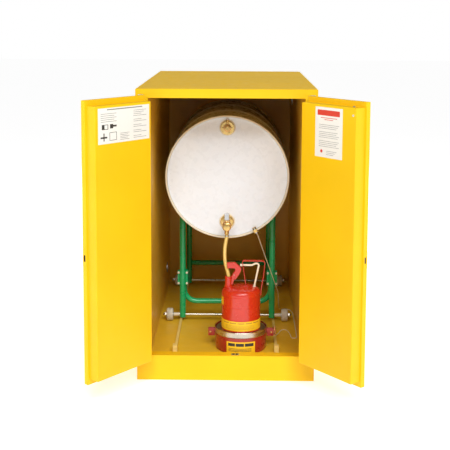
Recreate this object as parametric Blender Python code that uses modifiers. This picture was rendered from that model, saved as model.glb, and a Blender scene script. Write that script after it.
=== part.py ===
"""Horizontal drum safety cabinet: a double-wall steel cupboard with two doors, holding a drum on a
wheeled cradle, its vent and faucet, and a safety can that stands on a drip pan under the faucet.

Metres, +Z up. The origin is the centre of the base's underside. +X is to the right as one faces the
doors, and +Y runs from the doors to the back. Sizes in Y below are often given from the front plane.
"""

import math

import bmesh
import bpy
from mathutils import Vector

# ---- cabinet ------------------------------------------------------------------------------------
WIDTH = 0.787
DEPTH = 1.320
HEIGHT = 1.300
SHEET = 0.0015            # sheet steel
SIDE_WALL = 0.0535        # outer skin to liner at the sides, over both sheets
END_WALL = 0.040          # the same at the top and the back
GAP = 0.0003              # between pieces that touch
FRONT = -DEPTH / 2
BACK = DEPTH / 2
SIDE = WIDTH / 2
BAY = SIDE - SIDE_WALL    # half width of the inside
FLOOR = 0.095             # top of the inner floor
CEILING = HEIGHT - END_WALL
SILL_TOP = 0.113
FRAME_DEPTH = 0.049       # how far the sill, jambs and header turn inwards
FOOT_X = 0.320
FOOT_Y = 0.570
FOOT_HOLE = 0.026

# ---- doors: modelled shut, then swung open about their hinge pins -------------------------------
DOOR_OPEN = math.radians(128)
HINGE_X = 0.359
HINGE_Y = FRONT - 0.0235
DOOR_LOW = 0.095
DOOR_HIGH = 1.275
DOOR_SKIN = 0.022         # depth of the outer pan
DOOR_CLEAR = 0.0015       # outer pan to the frame, and to the centre line
DOOR_HINGE_SIDE = HINGE_X - 0.008
INNER_LOW = 0.118
INNER_HIGH = 1.253
INNER_EDGE = 0.010        # inner pan to the centre line
INNER_HINGE_SIDE = 0.333
INNER_REACH = 0.049       # how far the inner pan goes behind the front plane
KNUCKLES = 9
KNUCKLE_RADIUS = 0.006
PIN_RADIUS = 0.0027
PIN_HOLE = 0.0031

# ---- latch on the right door --------------------------------------------------------------------
LATCH_X = 0.050
LATCH_Z = 0.630
ROD_Y = FRONT + 0.021
ROD_RADIUS = 0.005
ROD_HOLE = 0.0075
BOLT_Y = FRONT - 0.011
LOCK_DROP = 0.040

# ---- side vents ---------------------------------------------------------------------------------
VENT_Y = 0.420
VENT_LOW = 0.230
VENT_HIGH = 1.160
VENT_RADIUS = 0.029

# ---- drum ---------------------------------------------------------------------------------------
DRUM_Z = 0.857
DRUM_RADIUS = 0.2925
DRUM_BODY = 0.286
DRUM_FRONT = FRONT + 0.350
DRUM_LENGTH = 0.880
DRUM_SHEET = 0.0014
HEAD_INSET = 0.014
BUNG_UP = 0.234
BUNG_DOWN = 0.213
BUNG_HOLE = 0.0285
BUNG = 0.027              # the threaded plug in it
VENT_DISC = 0.033
HEAD_Y = DRUM_FRONT + 0.0125

# ---- cradle -------------------------------------------------------------------------------------
TUBE = 0.015
LEG_X = 0.222
LEG_FRONT = FRONT + 0.560
LEG_REAR = FRONT + 1.195
LEG_LOW = 0.1135
TOP_Z = DRUM_Z - math.sqrt((DRUM_RADIUS + TUBE + 0.0008) ** 2 - LEG_X ** 2)
BEND = 0.060
WHEEL_RADIUS = 0.031
WHEEL_WIDTH = 0.034
WHEEL_X = 0.286
AXLE_Z = FLOOR + WHEEL_RADIUS + GAP
AXLE = 0.0065
CLAMP_Z = 0.314
CROSS_REAR_Z = 0.228
CROSS_LOW_Z = 0.187
CROSS_BACK = 0.0295  # the front cross tube runs this far behind the front legs
RAIL_X = 0.230
RAIL_HALF = 0.006
RAIL_HIGH = 0.012

# ---- safety can and its pan ---------------------------------------------------------------------
CAN_X = 0.068
CAN_Y = FRONT + 0.180
CAN_LOW = 0.188
CAN_SHOULDER = 0.366
CAN_TOP = 0.384
CAN_RADIUS = 0.089
NECK_SHIFT = -0.058
NECK_TOP = 0.428
PAN_RADIUS = 0.120
PAN_RIM = 0.195
LUG_REACH = 0.150
LUG_Z = 0.166
LEVER_PIVOT = Vector((0.0355, CAN_Y, 0.436))
LEVER_HALF = 0.0085
STRAP = 0.0035
STRAP_HALF = 0.011
TUBE_Z = 0.4798

# ---- drain --------------------------------------------------------------------------------------
FAUCET_Y = FRONT + 0.245
FAUCET_Z = DRUM_Z - BUNG_DOWN
OUTLET = 0.034
LEVER_UP = 0.036
HOSE = 0.008
WIRE = 0.002
CHIME_ANGLE = math.radians(-62)

X = Vector((1, 0, 0))
Y = Vector((0, 1, 0))
Z = Vector((0, 0, 1))


# ---- scene, materials and small tools -----------------------------------------------------------
for old in list(bpy.data.objects):
    bpy.data.objects.remove(old, do_unlink=True)


def collection(name):
    made = bpy.data.collections.new(name)
    bpy.context.scene.collection.children.link(made)
    return made


PARTS = collection("drum_safety_cabinet")
CUTTERS = collection("cutters")


def material(name, colour, roughness=0.5, metallic=0.0):
    made = bpy.data.materials.new(name)
    made.use_nodes = True
    shader = made.node_tree.nodes["Principled BSDF"]
    shader.inputs["Base Color"].default_value = (*colour, 1.0)
    shader.inputs["Roughness"].default_value = roughness
    shader.inputs["Metallic"].default_value = metallic
    return made


YELLOW = material("yellow_paint", (0.93, 0.60, 0.03), 0.38)
YELLOW_INSIDE = material("yellow_liner", (0.85, 0.52, 0.03), 0.45)
WHITE = material("white_paint", (0.86, 0.86, 0.85), 0.32)
GREEN = material("green_paint", (0.0, 0.20, 0.07), 0.40)
RED = material("red_paint", (0.65, 0.03, 0.02), 0.32)
BRASS = material("brass", (0.72, 0.50, 0.20), 0.30, 1.0)
COPPER = material("copper", (0.72, 0.34, 0.18), 0.35, 1.0)
ZINC = material("zinc", (0.62, 0.63, 0.65), 0.35, 1.0)
BLACK = material("black_plastic", (0.02, 0.02, 0.02), 0.45)
RUBBER = material("rubber", (0.56, 0.53, 0.45), 0.60)
HOSE_TAN = material("hose_tan", (0.62, 0.42, 0.14), 0.50)
CREAM = material("cream_tube", (0.80, 0.72, 0.50), 0.45)
WIRE_COAT = material("wire_coat", (0.75, 0.45, 0.08), 0.45)


def publish(thing, name, data_material, parent, home=PARTS):
    thing.name = name
    home.objects.link(thing)
    if data_material is not None:
        thing.data.materials.append(data_material)
    thing.parent = parent
    return thing


def mesh_object(name, bm, location, mat, parent=None, smooth=False, home=PARTS):
    data = bpy.data.meshes.new(name)
    bmesh.ops.recalc_face_normals(bm, faces=bm.faces)
    bm.to_mesh(data)
    bm.free()
    if smooth:
        data.shade_smooth()
        data.set_sharp_from_angle(angle=math.radians(35))
    made = publish(bpy.data.objects.new(name, data), name, mat, parent, home)
    made.location = location
    return made


def box(name, low, high, mat=None, parent=None):
    """A block between two corners."""
    low, high = Vector(low), Vector(high)
    bm = bmesh.new()
    bmesh.ops.create_cube(bm, size=1.0)
    bmesh.ops.scale(bm, vec=high - low, verts=bm.verts)
    return mesh_object(name, bm, (low + high) / 2, mat, parent)


def rod(name, start, end, radius, mat=None, parent=None, sides=12, tip=None):
    """A cylinder between two points, or a cone where tip is given."""
    start, end = Vector(start), Vector(end)
    bm = bmesh.new()
    bmesh.ops.create_cone(
        bm, cap_ends=True, segments=sides, radius1=radius,
        radius2=radius if tip is None else tip, depth=(end - start).length,
    )
    made = mesh_object(name, bm, (start + end) / 2, mat, parent, smooth=sides > 6)
    made.rotation_mode = "QUATERNION"
    made.rotation_quaternion = (end - start).to_track_quat("Z", "Y")
    return made


def turned(name, profile, centre, mat=None, parent=None, axis=Z, steps=24, ring=False):
    """A profile of (radius, height) points, top to bottom down its outer side, turned about axis."""
    bm = bmesh.new()
    points = [bm.verts.new((radius, 0.0, height)) for radius, height in profile]
    for first, second in zip(points, points[1:] + points[:1] if ring else points[1:]):
        bm.edges.new((first, second))
    data = bpy.data.meshes.new(name)
    bm.to_mesh(data)
    bm.free()
    made = publish(bpy.data.objects.new(name, data), name, mat, parent)
    made.location = centre
    made.rotation_mode = "QUATERNION"
    made.rotation_quaternion = axis.to_track_quat("Z", "Y")
    screw = made.modifiers.new("turn", "SCREW")
    screw.steps = screw.render_steps = steps
    screw.use_merge_vertices = True
    screw.merge_threshold = 0.0001
    screw.use_smooth_shade = True
    return made


def tube(name, points, radius, mat=None, parent=None, fineness=2):
    """A round tube along a list of points, its ends closed."""
    data = bpy.data.curves.new(name, "CURVE")
    data.dimensions = "3D"
    data.bevel_depth = radius
    data.bevel_resolution = fineness
    data.use_fill_caps = True
    spline = data.splines.new("POLY")
    spline.points.add(len(points) - 1)
    for place, point in zip(spline.points, points):
        place.co = (*point, 1.0)
    return publish(bpy.data.objects.new(name, data), name, mat, parent)


def strap(name, points, mat=None, parent=None):
    """A flat strap of even thickness along (x, z) points, its width across the can."""
    points = [Vector(point) for point in points]
    upper, lower = [], []
    for k, point in enumerate(points):
        before = (point - points[max(k - 1, 0)]).normalized()
        after = (points[min(k + 1, len(points) - 1)] - point).normalized()
        along = (before + after).normalized()
        side = Vector((-along.y, along.x))
        reach = STRAP / 2 / max(0.5, side.dot(Vector((-after.y, after.x)) if after.length else side))
        upper.append(point + side * reach)
        lower.append(point - side * reach)
    bm = bmesh.new()
    rows = [
        [bm.verts.new((point.x, CAN_Y + y, point.y)) for point in upper + lower[::-1]]
        for y in (-STRAP_HALF, STRAP_HALF)
    ]
    count = len(rows[0])
    for k in range(count):
        after = (k + 1) % count
        bm.faces.new((rows[0][k], rows[0][after], rows[1][after], rows[1][k]))
    for k in range(len(points) - 1):
        for row in rows:
            bm.faces.new((row[k], row[k + 1], row[count - 2 - k], row[count - 1 - k]))
    return mesh_object(name, bm, (0.0, 0.0, 0.0), mat, parent)


def smooth_route(points, step):
    """Points about one step apart on a smooth curve through the given points."""
    knots = [Vector(p) for p in points]
    ends = [2 * knots[0] - knots[1]] + knots + [2 * knots[-1] - knots[-2]]
    route = []
    for before, start, end, after in zip(ends, ends[1:], ends[2:], ends[3:]):
        count = max(1, round((end - start).length / step))
        for index in range(count):
            t = index / count
            route.append(0.5 * (
                2 * start + (end - before) * t
                + (2 * before - 5 * start + 4 * end - after) * t ** 2
                + (3 * start - before - 3 * end + after) * t ** 3
            ))
    return route + [knots[-1]]


def rounded(corners, radius, steps=4):
    """A path through corners, with each inner corner turned on an arc of the given radius."""
    corners = [Vector(c) for c in corners]
    path = [corners[0]]
    for before, corner, after in zip(corners, corners[1:], corners[2:]):
        back = (before - corner).normalized()
        ahead = (after - corner).normalized()
        half = back.angle(ahead) / 2
        centre = corner + (back + ahead).normalized() * radius / math.sin(half)
        start = corner + back * radius / math.tan(half) - centre
        end = corner + ahead * radius / math.tan(half) - centre
        turn = start.angle(end)
        for index in range(steps + 1):
            t = index / steps
            path.append(centre + (
                start * math.sin((1 - t) * turn) + end * math.sin(t * turn)
            ) / math.sin(turn))
    return path + [corners[-1]]


def solid_copy(thing):
    """A curve or a piece with modifiers as a plain mesh object in its place."""
    bpy.context.view_layer.update()
    graph = bpy.context.evaluated_depsgraph_get()
    data = bpy.data.meshes.new_from_object(thing.evaluated_get(graph))
    bm = bmesh.new()
    bm.from_mesh(data)
    bmesh.ops.remove_doubles(bm, verts=bm.verts, dist=0.00001)
    bmesh.ops.recalc_face_normals(bm, faces=bm.faces)
    bm.to_mesh(data)
    bm.free()
    name, parent, matrix = thing.name, thing.parent, thing.matrix_basis.copy()
    mats = [m for m in thing.data.materials]
    bpy.data.objects.remove(thing, do_unlink=True)
    data.name = name
    made = bpy.data.objects.new(name, data)
    PARTS.objects.link(made)
    made.parent = parent
    made.matrix_basis = matrix
    if not made.data.materials:
        for mat in mats:
            made.data.materials.append(mat)
    return made


def combine(base, tools, operation):
    """Boolean the tools into the base, and put them away with the cutters."""
    for tool in tools:
        for home in list(tool.users_collection):
            home.objects.unlink(tool)
        CUTTERS.objects.link(tool)
        tool.hide_render = True
        tool.display_type = "WIRE"
        step = base.modifiers.new(operation.lower(), "BOOLEAN")
        step.operation = operation
        step.solver = "EXACT"
        step.object = tool
    return base


def cut(base, *tools):
    return combine(base, tools, "DIFFERENCE")


def fuse(base, *tools):
    return combine(base, tools, "UNION")


def anchor(name, location, parent=None, turn=0.0):
    """An empty on a joint's axis."""
    made = bpy.data.objects.new(name, None)
    PARTS.objects.link(made)
    made.empty_display_size = 0.05
    made.location = location
    made.rotation_euler = (0.0, 0.0, turn)
    made.parent = parent
    return made


# ---- cabinet shell ------------------------------------------------------------------------------
def outer_skin():
    top = HEIGHT - SHEET
    inside = SIDE - SHEET
    for side, name, vent_z in ((-1, "outer_side_left", VENT_LOW), (1, "outer_side_right", VENT_HIGH)):
        panel = box(
            name, (min(side * inside, side * SIDE), FRONT, 0.0),
            (max(side * inside, side * SIDE), BACK - SHEET - GAP, top - GAP), YELLOW,
        )
        cut(panel, vent_hole(side, vent_z))
    box("outer_back", (-SIDE, BACK - SHEET, 0.0), (SIDE, BACK, top - GAP), YELLOW)
    box("outer_top", (-SIDE, FRONT, top), (SIDE, BACK, HEIGHT), YELLOW)
    bottom = box(
        "base_bottom", (-inside + GAP, FRONT + SHEET + GAP, 0.0),
        (inside - GAP, BACK - SHEET - GAP, SHEET), YELLOW,
    )
    for x in (-FOOT_X, FOOT_X):
        for y in (-FOOT_Y, FOOT_Y):
            cut(bottom, rod("foot_hole", (x, y, -0.01), (x, y, 0.01), FOOT_HOLE, sides=16))


def vent_hole(side, z):
    return rod(
        "vent_hole", (side * (BAY - 0.02), VENT_Y, z), (side * (SIDE + 0.02), VENT_Y, z),
        VENT_RADIUS + 0.001, sides=16,
    )


def liner():
    start = FRONT + FRAME_DEPTH + GAP
    end = BACK - END_WALL
    for side, name, vent_z in ((-1, "liner_left", VENT_LOW), (1, "liner_right", VENT_HIGH)):
        panel = box(
            name, (min(side * BAY, side * (BAY + SHEET)), start, FLOOR + GAP),
            (max(side * BAY, side * (BAY + SHEET)), end - GAP, CEILING - GAP), YELLOW_INSIDE,
        )
        cut(panel, vent_hole(side, vent_z))
    wide = BAY + SHEET
    box("liner_back", (-wide, end, FLOOR + GAP), (wide, end + SHEET, CEILING - GAP), YELLOW_INSIDE)
    box("liner_top", (-wide, start, CEILING), (wide, end + SHEET, CEILING + SHEET), YELLOW_INSIDE)
    box("floor_pan", (-wide, start, FLOOR - SHEET), (wide, end + SHEET, FLOOR), YELLOW_INSIDE)


def front_frame():
    wide = SIDE - SHEET - GAP
    inner = FRONT + FRAME_DEPTH
    rod_slot = (LATCH_X, ROD_Y)

    header = box("header", (-wide, FRONT, CEILING), (wide, FRONT + SHEET, HEIGHT - SHEET - GAP), YELLOW)
    fuse(header, box("header_return", (-wide, FRONT, CEILING), (wide, inner, CEILING + SHEET)))
    cut(header, rod("rod_hole", (*rod_slot, CEILING - 0.01), (*rod_slot, CEILING + 0.01), ROD_HOLE))

    sill = box("sill", (-wide, FRONT, 0.0), (wide, FRONT + SHEET, SILL_TOP), YELLOW)
    fuse(
        sill,
        box("sill_flange", (-wide, FRONT, SILL_TOP - SHEET), (wide, inner, SILL_TOP)),
        box("sill_lip", (-wide, inner - SHEET, FLOOR - SHEET), (wide, inner, SILL_TOP)),
    )
    cut(sill, rod("rod_hole", (*rod_slot, SILL_TOP - 0.01), (*rod_slot, SILL_TOP + 0.01), ROD_HOLE))

    for side, name in ((-1, "jamb_left"), (1, "jamb_right")):
        low, high = SILL_TOP + GAP, CEILING - GAP
        jamb = box(
            name, (min(side * BAY, side * wide), FRONT, low),
            (max(side * BAY, side * wide), FRONT + SHEET, high), YELLOW,
        )
        fuse(jamb, box(
            "jamb_return", (min(side * BAY, side * (BAY + SHEET)), FRONT, low),
            (max(side * BAY, side * (BAY + SHEET)), inner, high),
        ))


def side_vents():
    """A threaded socket through both walls on each side, with its plug screwed in."""
    reach = SIDE - BAY + 0.006
    profile = [
        (0.0, reach + 0.010), (0.012, reach + 0.010), (0.012, reach + 0.004),
        (VENT_RADIUS + 0.002, reach + 0.004), (VENT_RADIUS + 0.002, reach + 0.001),
        (VENT_RADIUS + 0.009, reach + 0.001), (VENT_RADIUS + 0.009, reach - 0.0017),
        (VENT_RADIUS, reach - 0.0017), (VENT_RADIUS, 0.0), (0.0, 0.0),
    ]
    for side, name, z in ((-1, "side_vent_left", VENT_LOW), (1, "side_vent_right", VENT_HIGH)):
        turned(name, profile, (side * (BAY - 0.004), VENT_Y, z), ZINC, axis=X * side, steps=16)


def floor_rails():
    for side, name in ((-1, "floor_rail_left"), (1, "floor_rail_right")):
        x = side * RAIL_X
        rail = box(
            name, (x - RAIL_HALF, FRONT + 0.110, FLOOR + GAP),
            (x + RAIL_HALF, BACK - END_WALL - 0.010, FLOOR + RAIL_HIGH), YELLOW_INSIDE,
        )
        fuse(rail, box(
            "stop", (x - 0.010, FRONT + 0.085, FLOOR + GAP), (x + 0.010, FRONT + 0.115, FLOOR + 0.034),
        ))


# ---- hinges -------------------------------------------------------------------------------------
def knuckle_spans():
    pitch = (DOOR_HIGH - DOOR_LOW) / KNUCKLES
    for index in range(KNUCKLES):
        yield index, DOOR_LOW + index * pitch + GAP, DOOR_LOW + (index + 1) * pitch - GAP


def knuckle(low, high, centre, parent=None):
    profile = [(KNUCKLE_RADIUS, high), (KNUCKLE_RADIUS, low), (PIN_HOLE, low), (PIN_HOLE, high)]
    return turned("knuckle", profile, centre, parent=parent, steps=10, ring=True)


def frame_hinges():
    """The cabinet's half of each hinge: an angle on the jamb, solid knuckles and the pin in them."""
    for side, name in ((-1, "hinge_leaf_left"), (1, "hinge_leaf_right")):
        def strip(label, x0, x1, y0, y1, z0, z1, mat=None):
            near, far = side * (HINGE_X + x0), side * (HINGE_X + x1)
            return box(label, (min(near, far), y0, z0), (max(near, far), y1, z1), mat)

        web_start = HINGE_Y + 0.0070
        centre = (side * HINGE_X, HINGE_Y)
        leaf = strip(name, 0.0015, 0.0240, FRONT - 0.0018, FRONT - GAP, DOOR_LOW, DOOR_HIGH, ZINC)
        fuse(
            leaf,
            strip("web", 0.0015, 0.0030, web_start, FRONT - GAP, DOOR_LOW, DOOR_HIGH),
            rod("pin", (*centre, DOOR_LOW), (*centre, DOOR_HIGH), PIN_RADIUS, sides=10),
        )
        for index, low, high in knuckle_spans():
            if index % 2 == 0:
                fuse(
                    leaf,
                    strip("bridge", 0.0005, 0.0032, HINGE_Y + 0.0020, web_start + 0.001, low, high),
                    rod("knuckle", (*centre, low), (*centre, high), KNUCKLE_RADIUS, sides=10),
                )


# ---- doors --------------------------------------------------------------------------------------
def door(side, name, frame):
    """One door. Its parent empty stands on the hinge pin, and x below is measured as it hangs shut."""
    def span(x0, x1):
        local = [side * x - side * HINGE_X for x in (x0, x1)]
        return min(local), max(local)

    def block(label, x0, x1, y0, y1, z0, z1, mat=None):
        low, high = span(x0, x1)
        return box(label, (low, y0 - HINGE_Y, z0), (high, y1 - HINGE_Y, z1), mat, frame)

    rear = FRONT - DOOR_CLEAR
    face = rear - DOOR_SKIN
    outer = block(
        name + "_outer", DOOR_CLEAR, DOOR_HINGE_SIDE, face, rear, DOOR_LOW, DOOR_HIGH, YELLOW,
    )
    cut(
        outer,
        block(
            "hollow", DOOR_CLEAR + SHEET, DOOR_HINGE_SIDE - SHEET, face + SHEET, rear - SHEET,
            DOOR_LOW + SHEET, DOOR_HIGH - SHEET,
        ),
        block(
            "mouth", INNER_EDGE - GAP, INNER_HINGE_SIDE + GAP, rear - 0.004, rear + 0.004,
            INNER_LOW - GAP, INNER_HIGH + GAP,
        ),
    )
    inner_start = face + SHEET + GAP
    inner = block(
        name + "_inner", INNER_EDGE, INNER_HINGE_SIDE, inner_start, FRONT + INNER_REACH,
        INNER_LOW, INNER_HIGH, YELLOW_INSIDE,
    )
    cut(inner, block(
        "hollow", INNER_EDGE + SHEET, INNER_HINGE_SIDE - SHEET, inner_start - 0.01,
        FRONT + INNER_REACH - SHEET, INNER_LOW + SHEET, INNER_HIGH - SHEET,
    ))

    leaf = block(
        name + "_hinge_leaf", DOOR_HINGE_SIDE + GAP, HINGE_X - 0.0065, FRONT - 0.0225, FRONT - 0.0035,
        DOOR_LOW, DOOR_HIGH, ZINC,
    )
    for index, low, high in knuckle_spans():
        if index % 2 == 1:
            fuse(
                leaf,
                block("bridge", DOOR_HINGE_SIDE + 0.0008, HINGE_X - 0.003, FRONT - 0.0215, FRONT - 0.0195,
                      low, high),
                knuckle(low, high, (0.0, 0.0, 0.0), frame),
            )
    return outer, inner, block


def left_door():
    frame = anchor("left_door_axis", (-HINGE_X, HINGE_Y, 0.0), turn=-DOOR_OPEN)
    outer, inner, block = door(-1, "left_door", frame)
    strike = block(
        "left_strike_plate", 0.0002, DOOR_CLEAR - GAP, FRONT - 0.0205, FRONT - 0.0025,
        LATCH_Z - 0.032, LATCH_Z + 0.032, BLACK,
    )
    slot = (BOLT_Y - 0.005, BOLT_Y + 0.005, LATCH_Z - 0.016, LATCH_Z + 0.016)
    for piece in (outer, inner, strike):
        cut(piece, block("bolt_slot", 0.0, 0.014, *slot))


def right_door():
    frame = anchor("right_door_axis", (HINGE_X, HINGE_Y, 0.0), turn=DOOR_OPEN)
    outer, inner, block = door(1, "right_door", frame)
    slot = (BOLT_Y - 0.0046, BOLT_Y + 0.0046, LATCH_Z - 0.0130, LATCH_Z + 0.0130)
    for piece in (outer, inner):
        cut(piece, block("bolt_slot", 0.0, 0.014, *slot))
    latch = (LATCH_X - HINGE_X, 0.0)
    face = FRONT - DOOR_CLEAR - DOOR_SKIN - HINGE_Y

    def across(label, x, z, y0, y1, radius, sides=12, mat=None, parent=frame):
        return rod(label, (x, y0, z), (x, y1, z), radius, mat, parent, sides)

    cut(
        outer,
        across("spindle_hole", latch[0], LATCH_Z, face - 0.01, face + 0.01, 0.0080, 16),
        across("lock_hole", latch[0], LATCH_Z - LOCK_DROP, face - 0.01, face + 0.01, 0.0100, 16),
    )
    for z in (INNER_LOW, INNER_HIGH):
        hole = rod(
            "rod_hole", (latch[0], ROD_Y - HINGE_Y, z - 0.01), (latch[0], ROD_Y - HINGE_Y, z + 0.01),
            ROD_RADIUS + 0.001, parent=frame,
        )
        cut(inner, hole)

    rose = block(
        "handle_rose", LATCH_X - 0.020, LATCH_X + 0.020, FRONT - 0.0275, FRONT - DOOR_CLEAR - DOOR_SKIN - GAP,
        LATCH_Z - 0.062, LATCH_Z + 0.026, BLACK,
    )
    cut(
        rose,
        across("spindle_hole", latch[0], LATCH_Z, face - 0.01, face + 0.01, 0.0080, 16),
        across("lock_hole", latch[0], LATCH_Z - LOCK_DROP, face - 0.01, face + 0.01, 0.0100, 16),
    )

    handle_frame = anchor("handle_axis", (latch[0], 0.0, LATCH_Z), frame)
    plate = face - 0.0035
    grip = rod("handle", (0, plate - 0.020, 0), (0, face + 0.026, 0), 0.0070, BLACK, handle_frame)
    fuse(
        grip,
        box("grip", (-0.009, plate - 0.020, -0.012), (0.095, plate - 0.008, 0.012), parent=handle_frame),
        box("cam", (-0.018, face + 0.020, -0.018), (0.018, face + 0.025, 0.018), parent=handle_frame),
    )

    lock_frame = anchor("lock_axis", (latch[0], 0.0, LATCH_Z - LOCK_DROP), frame)
    lock = rod("lock_cylinder", (0, plate - 0.003, 0), (0, face + 0.014, 0), 0.0094, ZINC, lock_frame)
    cut(lock, box(
        "key_slot", (-0.001, plate - 0.01, -0.005), (0.001, plate + 0.001, 0.005), parent=lock_frame,
    ))

    y = ROD_Y - HINGE_Y
    rod("latch_rod_top", (latch[0], y, LATCH_Z + 0.024), (latch[0], y, INNER_HIGH + 0.004), ROD_RADIUS,
        ZINC, frame)
    rod("latch_rod_bottom", (latch[0], y, INNER_LOW - 0.002), (latch[0], y, LATCH_Z - 0.024), ROD_RADIUS,
        ZINC, frame)
    block("centre_bolt", 0.0022, 0.0215, BOLT_Y - 0.004, BOLT_Y + 0.004, LATCH_Z - 0.0125, LATCH_Z + 0.0125,
          BLACK)


# ---- drum ---------------------------------------------------------------------------------------
def drum():
    """The shell with its hoops, chimes and rear head as one shape, and the front head set in it."""
    def hoop(at):
        return [
            (DRUM_BODY, at - 0.022), (DRUM_RADIUS, at - 0.010), (DRUM_RADIUS, at + 0.010),
            (DRUM_BODY, at + 0.022),
        ]

    rim = DRUM_RADIUS - 0.008
    rear = DRUM_LENGTH - HEAD_INSET
    body = [(DRUM_BODY, 0.020)] + hoop(DRUM_LENGTH / 3) + hoop(2 * DRUM_LENGTH / 3)
    body += [(DRUM_BODY, DRUM_LENGTH - 0.022)]
    inside = [(radius - DRUM_SHEET, depth) for radius, depth in reversed(body)]
    profile = [(0.0, rear - DRUM_SHEET), (DRUM_BODY - DRUM_SHEET, rear - DRUM_SHEET)] + inside
    profile += [(rim, 0.012), (rim, 0.0), (DRUM_RADIUS, 0.0), (DRUM_RADIUS, 0.012)] + body
    profile += [(DRUM_RADIUS, DRUM_LENGTH - 0.012), (DRUM_RADIUS, DRUM_LENGTH), (rim, DRUM_LENGTH)]
    profile += [(rim, rear), (0.0, rear)]
    turned(
        "drum_shell", [(radius, -depth) for radius, depth in profile], (0.0, DRUM_FRONT, DRUM_Z), WHITE,
        CRADLE, axis=-Y, steps=36,
    )

    head = rod(
        "drum_head", (0, HEAD_Y, DRUM_Z), (0, HEAD_Y + DRUM_SHEET, DRUM_Z),
        DRUM_BODY - DRUM_SHEET - 0.003, WHITE, CRADLE, sides=36,
    )
    for z in (DRUM_Z + BUNG_UP, FAUCET_Z):
        cut(head, rod(
            "bung_hole", (0, HEAD_Y - 0.01, z), (0, HEAD_Y + 0.01, z), BUNG_HOLE, parent=CRADLE, sides=20,
        ))


def drum_vent():
    centre = (0.0, HEAD_Y, DRUM_Z + BUNG_UP)
    profile = [
        (0.0, 0.024), (0.011, 0.024), (0.013, 0.014), (0.031, 0.012), (VENT_DISC, 0.009),
        (VENT_DISC, GAP), (BUNG, GAP), (BUNG, -0.012), (0.0, -0.012),
    ]
    disc = turned("drum_vent", profile, centre, BRASS, CRADLE, axis=-Y, steps=24)
    y = HEAD_Y - 0.0090
    top = centre[2] + VENT_DISC + 0.0045
    fuse(disc, rod("stem", (0, y, centre[2]), (0, y, top), 0.0060, parent=CRADLE, sides=10))
    cut(disc, rod("bore", (0, y, top - 0.012), (0, y, top + 0.01), 0.0036, parent=CRADLE, sides=10))
    cap = rod("vent_poppet", (0, y, top + GAP), (0, y, top + 0.007), 0.0070, ZINC, CRADLE, sides=10)
    fuse(cap, rod("pin", (0, y, top - 0.009), (0, y, top + 0.003), 0.0030, parent=CRADLE, sides=10))


def faucet():
    """A brass drum faucet: barrel from the lower bung, outlet below, self-closing lever above."""
    z = FAUCET_Z
    barrel = rod(
        "faucet_body", (0, FAUCET_Y - 0.020, z), (0, HEAD_Y - 0.010, z), 0.0200, BRASS, CRADLE, sides=16,
    )
    fuse(
        barrel,
        rod("flange", (0, HEAD_Y - 0.012, z), (0, HEAD_Y - GAP, z), 0.0320, parent=CRADLE, sides=16),
        rod("thread", (0, HEAD_Y - 0.006, z), (0, HEAD_Y + 0.012, z), BUNG, parent=CRADLE, sides=16),
        rod("outlet", (0, FAUCET_Y, z), (0, FAUCET_Y, z - OUTLET), 0.0110, parent=CRADLE, sides=12),
        rod("bonnet", (0, FAUCET_Y, z), (0, FAUCET_Y, z + 0.026), 0.0100, parent=CRADLE, sides=12),
    )
    pivot = anchor("faucet_lever_pivot", (0, FAUCET_Y, z + LEVER_UP), CRADLE)
    lever = box("faucet_lever", (-0.0115, -0.004, -0.006), (0.0115, 0.004, 0.028), ZINC, pivot)
    fuse(lever, box("tab", (-0.0115, -0.020, 0.022), (0.0115, 0.004, 0.028), parent=pivot))


# ---- cradle -------------------------------------------------------------------------------------
def cradle_sides():
    """Each side is one tube bent down into two legs, with the axles' holes through them."""
    for side, name in ((-1, "cradle_side_left"), (1, "cradle_side_right")):
        x = side * LEG_X
        corners = [
            (x, LEG_FRONT, LEG_LOW), (x, LEG_FRONT, TOP_Z), (x, LEG_REAR, TOP_Z), (x, LEG_REAR, LEG_LOW),
        ]
        bent = solid_copy(tube(name, rounded(corners, BEND), TUBE, GREEN, CRADLE, fineness=4))
        for y in (LEG_FRONT, LEG_REAR):
            cut(bent, rod(
                "axle_hole", (x - 0.03, y, AXLE_Z), (x + 0.03, y, AXLE_Z), AXLE + 0.0006, parent=CRADLE,
            ))


def saddle(bar, side):
    """What holds the front tube to a leg: a plate behind the leg, a fitted strap before it, four bolts."""
    x, y = side * LEG_X, LEG_FRONT
    low, high = CLAMP_Z - 0.036, CLAMP_Z + 0.036
    strap = rod("strap", (x, y, low), (x, y, high), TUBE + 0.0028, parent=CRADLE, sides=24)
    cut(strap, box("rear_half", (x - 0.03, y - 0.001, low - 0.01), (x + 0.03, y + 0.03, high + 0.01),
                   parent=CRADLE))
    fuse(strap, box("ears", (x - 0.0250, y - 0.0045, low), (x + 0.0250, y - 0.0015, high), parent=CRADLE))
    cut(strap, rod("leg_room", (x, y, low - 0.01), (x, y, high + 0.01), TUBE + GAP, parent=CRADLE, sides=24))
    fuse(
        bar, strap,
        box("back_plate", (x - 0.0250, y + TUBE + 0.0004, low), (x + 0.0250, y + TUBE + 0.0034, high),
            parent=CRADLE),
    )
    for dx in (-0.0205, 0.0205):
        for z in (CLAMP_Z - 0.027, CLAMP_Z + 0.027):
            fuse(
                bar,
                rod("bolt", (x + dx, y - 0.011, z), (x + dx, y + TUBE + 0.002, z), 0.0028, parent=CRADLE),
                rod("nut", (x + dx, y - 0.0090, z), (x + dx, y - 0.0035, z), 0.0052, parent=CRADLE, sides=6),
            )


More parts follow.
